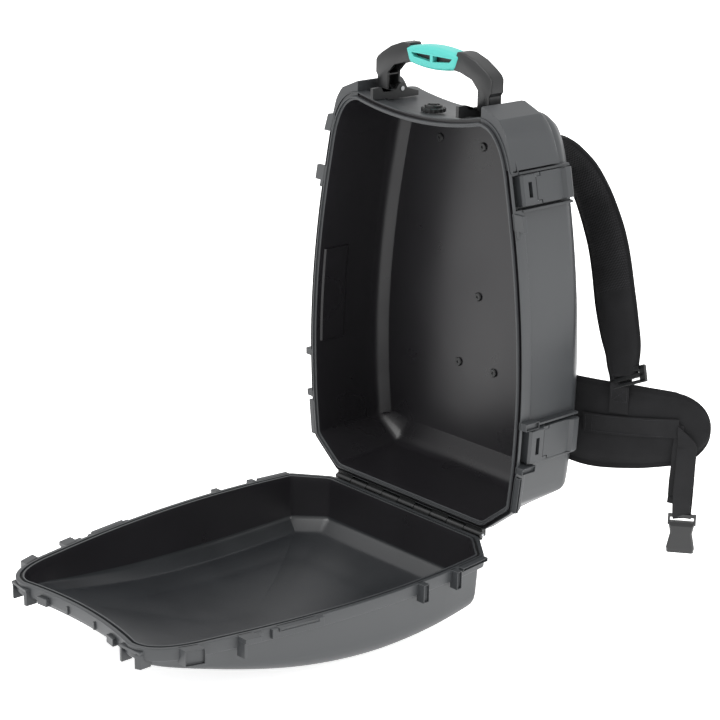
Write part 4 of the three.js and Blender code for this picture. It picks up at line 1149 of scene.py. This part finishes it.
# out of the belt's face, height, width, turn about the upright in degrees, shift along the belt.
# The band is folded over a corner where it turns down, so the hanging strand starts as a wedge.
loop = [
    (4.2, 149, 1.5, 0, -12), (4.6, 142, 8, 4, -9), (4.8, 133, 17, 8, -4.5), (4.6, 124, 24.5, 8, -0.5),
    (4.0, 116, 25, 2, 0), (3.0, 100, 25, -6, 0), (2.6, 82, 24.5, -14, -1), (2.0, 60, 24, -16, -2),
    (-1.0, 38, 23, -14, -2), (-4.5, 26, 23, -12, -1), (-9, 21.5, 23, -10, 0), (-14.5, 28, 23, -8, 0),
    (-16.5, 44, 24, -4, 0), (-17, 76, 25, 0, 0), (-17, 112, 25, 0, 0),
]
rows = []
for out_mm, z, wide, turn, shift in loop:
    angle = math.radians(turn)
    across = tip_along * math.cos(angle) + tip_out * math.sin(angle)
    centre = spot + tip_out * out_mm + tip_along * shift + np.array([0, 0, z])
    rows.append(tuple(centre) + (wide, 1.6, tuple(across)))
ribbon("hanging_band", rows, instead="hanging_webbing")

# Behind the fold the band doubles back, and its free tail hangs down with a sewn end.
tail_rows = [
    (298, 150, 2.2, 9, 1.7), (297, 134, 2.6, 11, 1.7), (296.5, 116, 3.2, 13, 1.7), (296, 94, 2.4, 13, 1.7),
    (295, 72, 1.6, 13, 1.7), (295, 54, 1.2, 13, 1.7), (295, 52, 1.2, 13, 3.4), (294.5, 44, 1.0, 13, 3.4),
]
rows = [on_belt(x, z, away) + (wide, thick, (1, 0.55, 0)) for x, z, away, wide, thick in tail_rows]
ribbon("webbing_tail", rows)

lock_end = np.array([root_x + 138, back_face + 38, root_z - 260.0])
before = np.array([root_x + 133, back_face + 43, root_z - 246.0])
down = (lock_end - before) / np.linalg.norm(lock_end - before)
_, tab_along, tab_out = belt_frame(228)


def tab_face(z, lift_mm):
    """A point on the sewn tab on the belt's front face."""
    return tuple(belt_frame(228)[0] + tab_out * lift_mm + np.array([0, 0, z]))


tab_top = 139 + 55
rows = [tuple(lock_end + down * 21), tuple(lock_end + down * 24), tab_face(tab_top + 2.8, -3)]
rows += [tab_face(tab_top - 1, 2.6), tab_face(tab_top - 8, 1.9), tab_face(tab_top - 38, 1.7)]
ribbon("strap_band", [r + (25, 1.6, tuple(tab_along)) for r in rows], instead="strap_webbing")

# %% [markdown]
# ## Ladder locks
# A ladder lock is a small moulded frame that sets the strap's length. The band passes its slots.

# %% Ladder locks
def ladder_lock():
    """A frame with two slots. The band runs round its middle bar, which clamps it when pulled."""
    middle = lock_end + down * 22 + np.array([10, -2, 1])
    across = np.array([0.9, 0.2, 0.42])
    across /= np.linalg.norm(across)
    through = np.cross(across, down)
    through /= np.linalg.norm(through)
    fall = np.cross(through, across)
    shapes = []
    bars = [(-26.5, 26.5, -10.8, -5), (-26.5, 26.5, -1.8, 3.6), (-26.5, 26.5, 7, 10.8)]
    bars += [(-27, -20, -11, 11), (18, 27, -11, 11)]
    for u0, u1, v0, v1 in bars:
        rows = []
        for w in (-2.6, 2.6):
            for u, v in ((u0, v0), (u0, v1), (u1, v1), (u1, v0)):
                rows.append(middle + across * u + fall * v + through * w)
        shapes.append(block(rows))
    return merged(shapes)


for hand, shape in both_hands(ladder_lock()):
    lock = make(f"ladder_frame_{hand}", shape, [black_nylon], "shell")
    soft_edges(lock, 0.8)
    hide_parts(f"ladder_lock_{hand}")

# %% [markdown]
# ## Stitching
# A sewn box and rows hold the webbing. Each stitch catches the light as real thread does.

# %% Stitching
def stitches(paths, pitch=3.2, length=2.3, radius=0.32):
    """Little six-sided threads laid along paths of points, each half sunk in the cloth."""
    shapes = []
    for path in paths:
        path = np.asarray(path, dtype=float)
        run = np.concatenate([[0], np.cumsum(np.linalg.norm(np.diff(path, axis=0), axis=1))])
        for start in np.arange(0, run[-1] - length, pitch):
            ends = (start, start + length)
            a, b = (np.array([np.interp(t, run, path[:, k]) for k in range(3)]) for t in ends)
            axis = (b - a) / np.linalg.norm(b - a)
            side = np.cross(axis, (0.3, 0.5, 0.8))
            side /= np.linalg.norm(side)
            other = np.cross(axis, side)
            angles = np.linspace(0, 2 * math.pi, 7)[:-1][:, None]
            circle = np.cos(angles) * side + np.sin(angles) * other
            tips = ((a, 0.4), (a + axis * 0.4, 1), (b - axis * 0.4, 1), (b, 0.4))
            rings = [p + radius * share * circle for p, share in tips]
            shapes.append(loft(rings))
    return merged(shapes)


paths = []
# The box stitch on the tab, with its cross.
box_corners = ((190, -10), (190, 10), (172, 10), (172, -10), (190, -10))
box = [tab_face(z, 2.7) + tab_along * u for z, u in box_corners]
paths.append(box)
paths.append([tab_face(190, 2.7) + tab_along * -10, tab_face(172, 2.7) + tab_along * 10])
paths.append([tab_face(190, 2.7) + tab_along * 10, tab_face(172, 2.7) + tab_along * -10])
# Two rows along the band on the wing, and across its sewn end.
for edge in (-10.5, 10.5):
    paths.append([on_belt(x, np.interp(x, [184, 290], [137, 145]) + edge, 4.0) for x in range(186, 288, 6)])
for x in (187, 196):
    paths.append([on_belt(x, z, 4.0) for z in np.linspace(127, 147, 5)])
for hand, shape in both_hands(stitches(paths)):
    make(f"stitching_{hand}", shape, [thread], "shell", 60)
print("stitches", len(paths), "paths")

# %% [markdown]
# ## The size
# The dressed object's box is printed, to be set against the CAD model's box printed at the start.
# The dressed object has to stay inside the CAD model's box, give or take a few millimetres.

# %% Finish
low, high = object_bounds()
print("scene box", [round(v, 4) for v in low], [round(v, 4) for v in high])
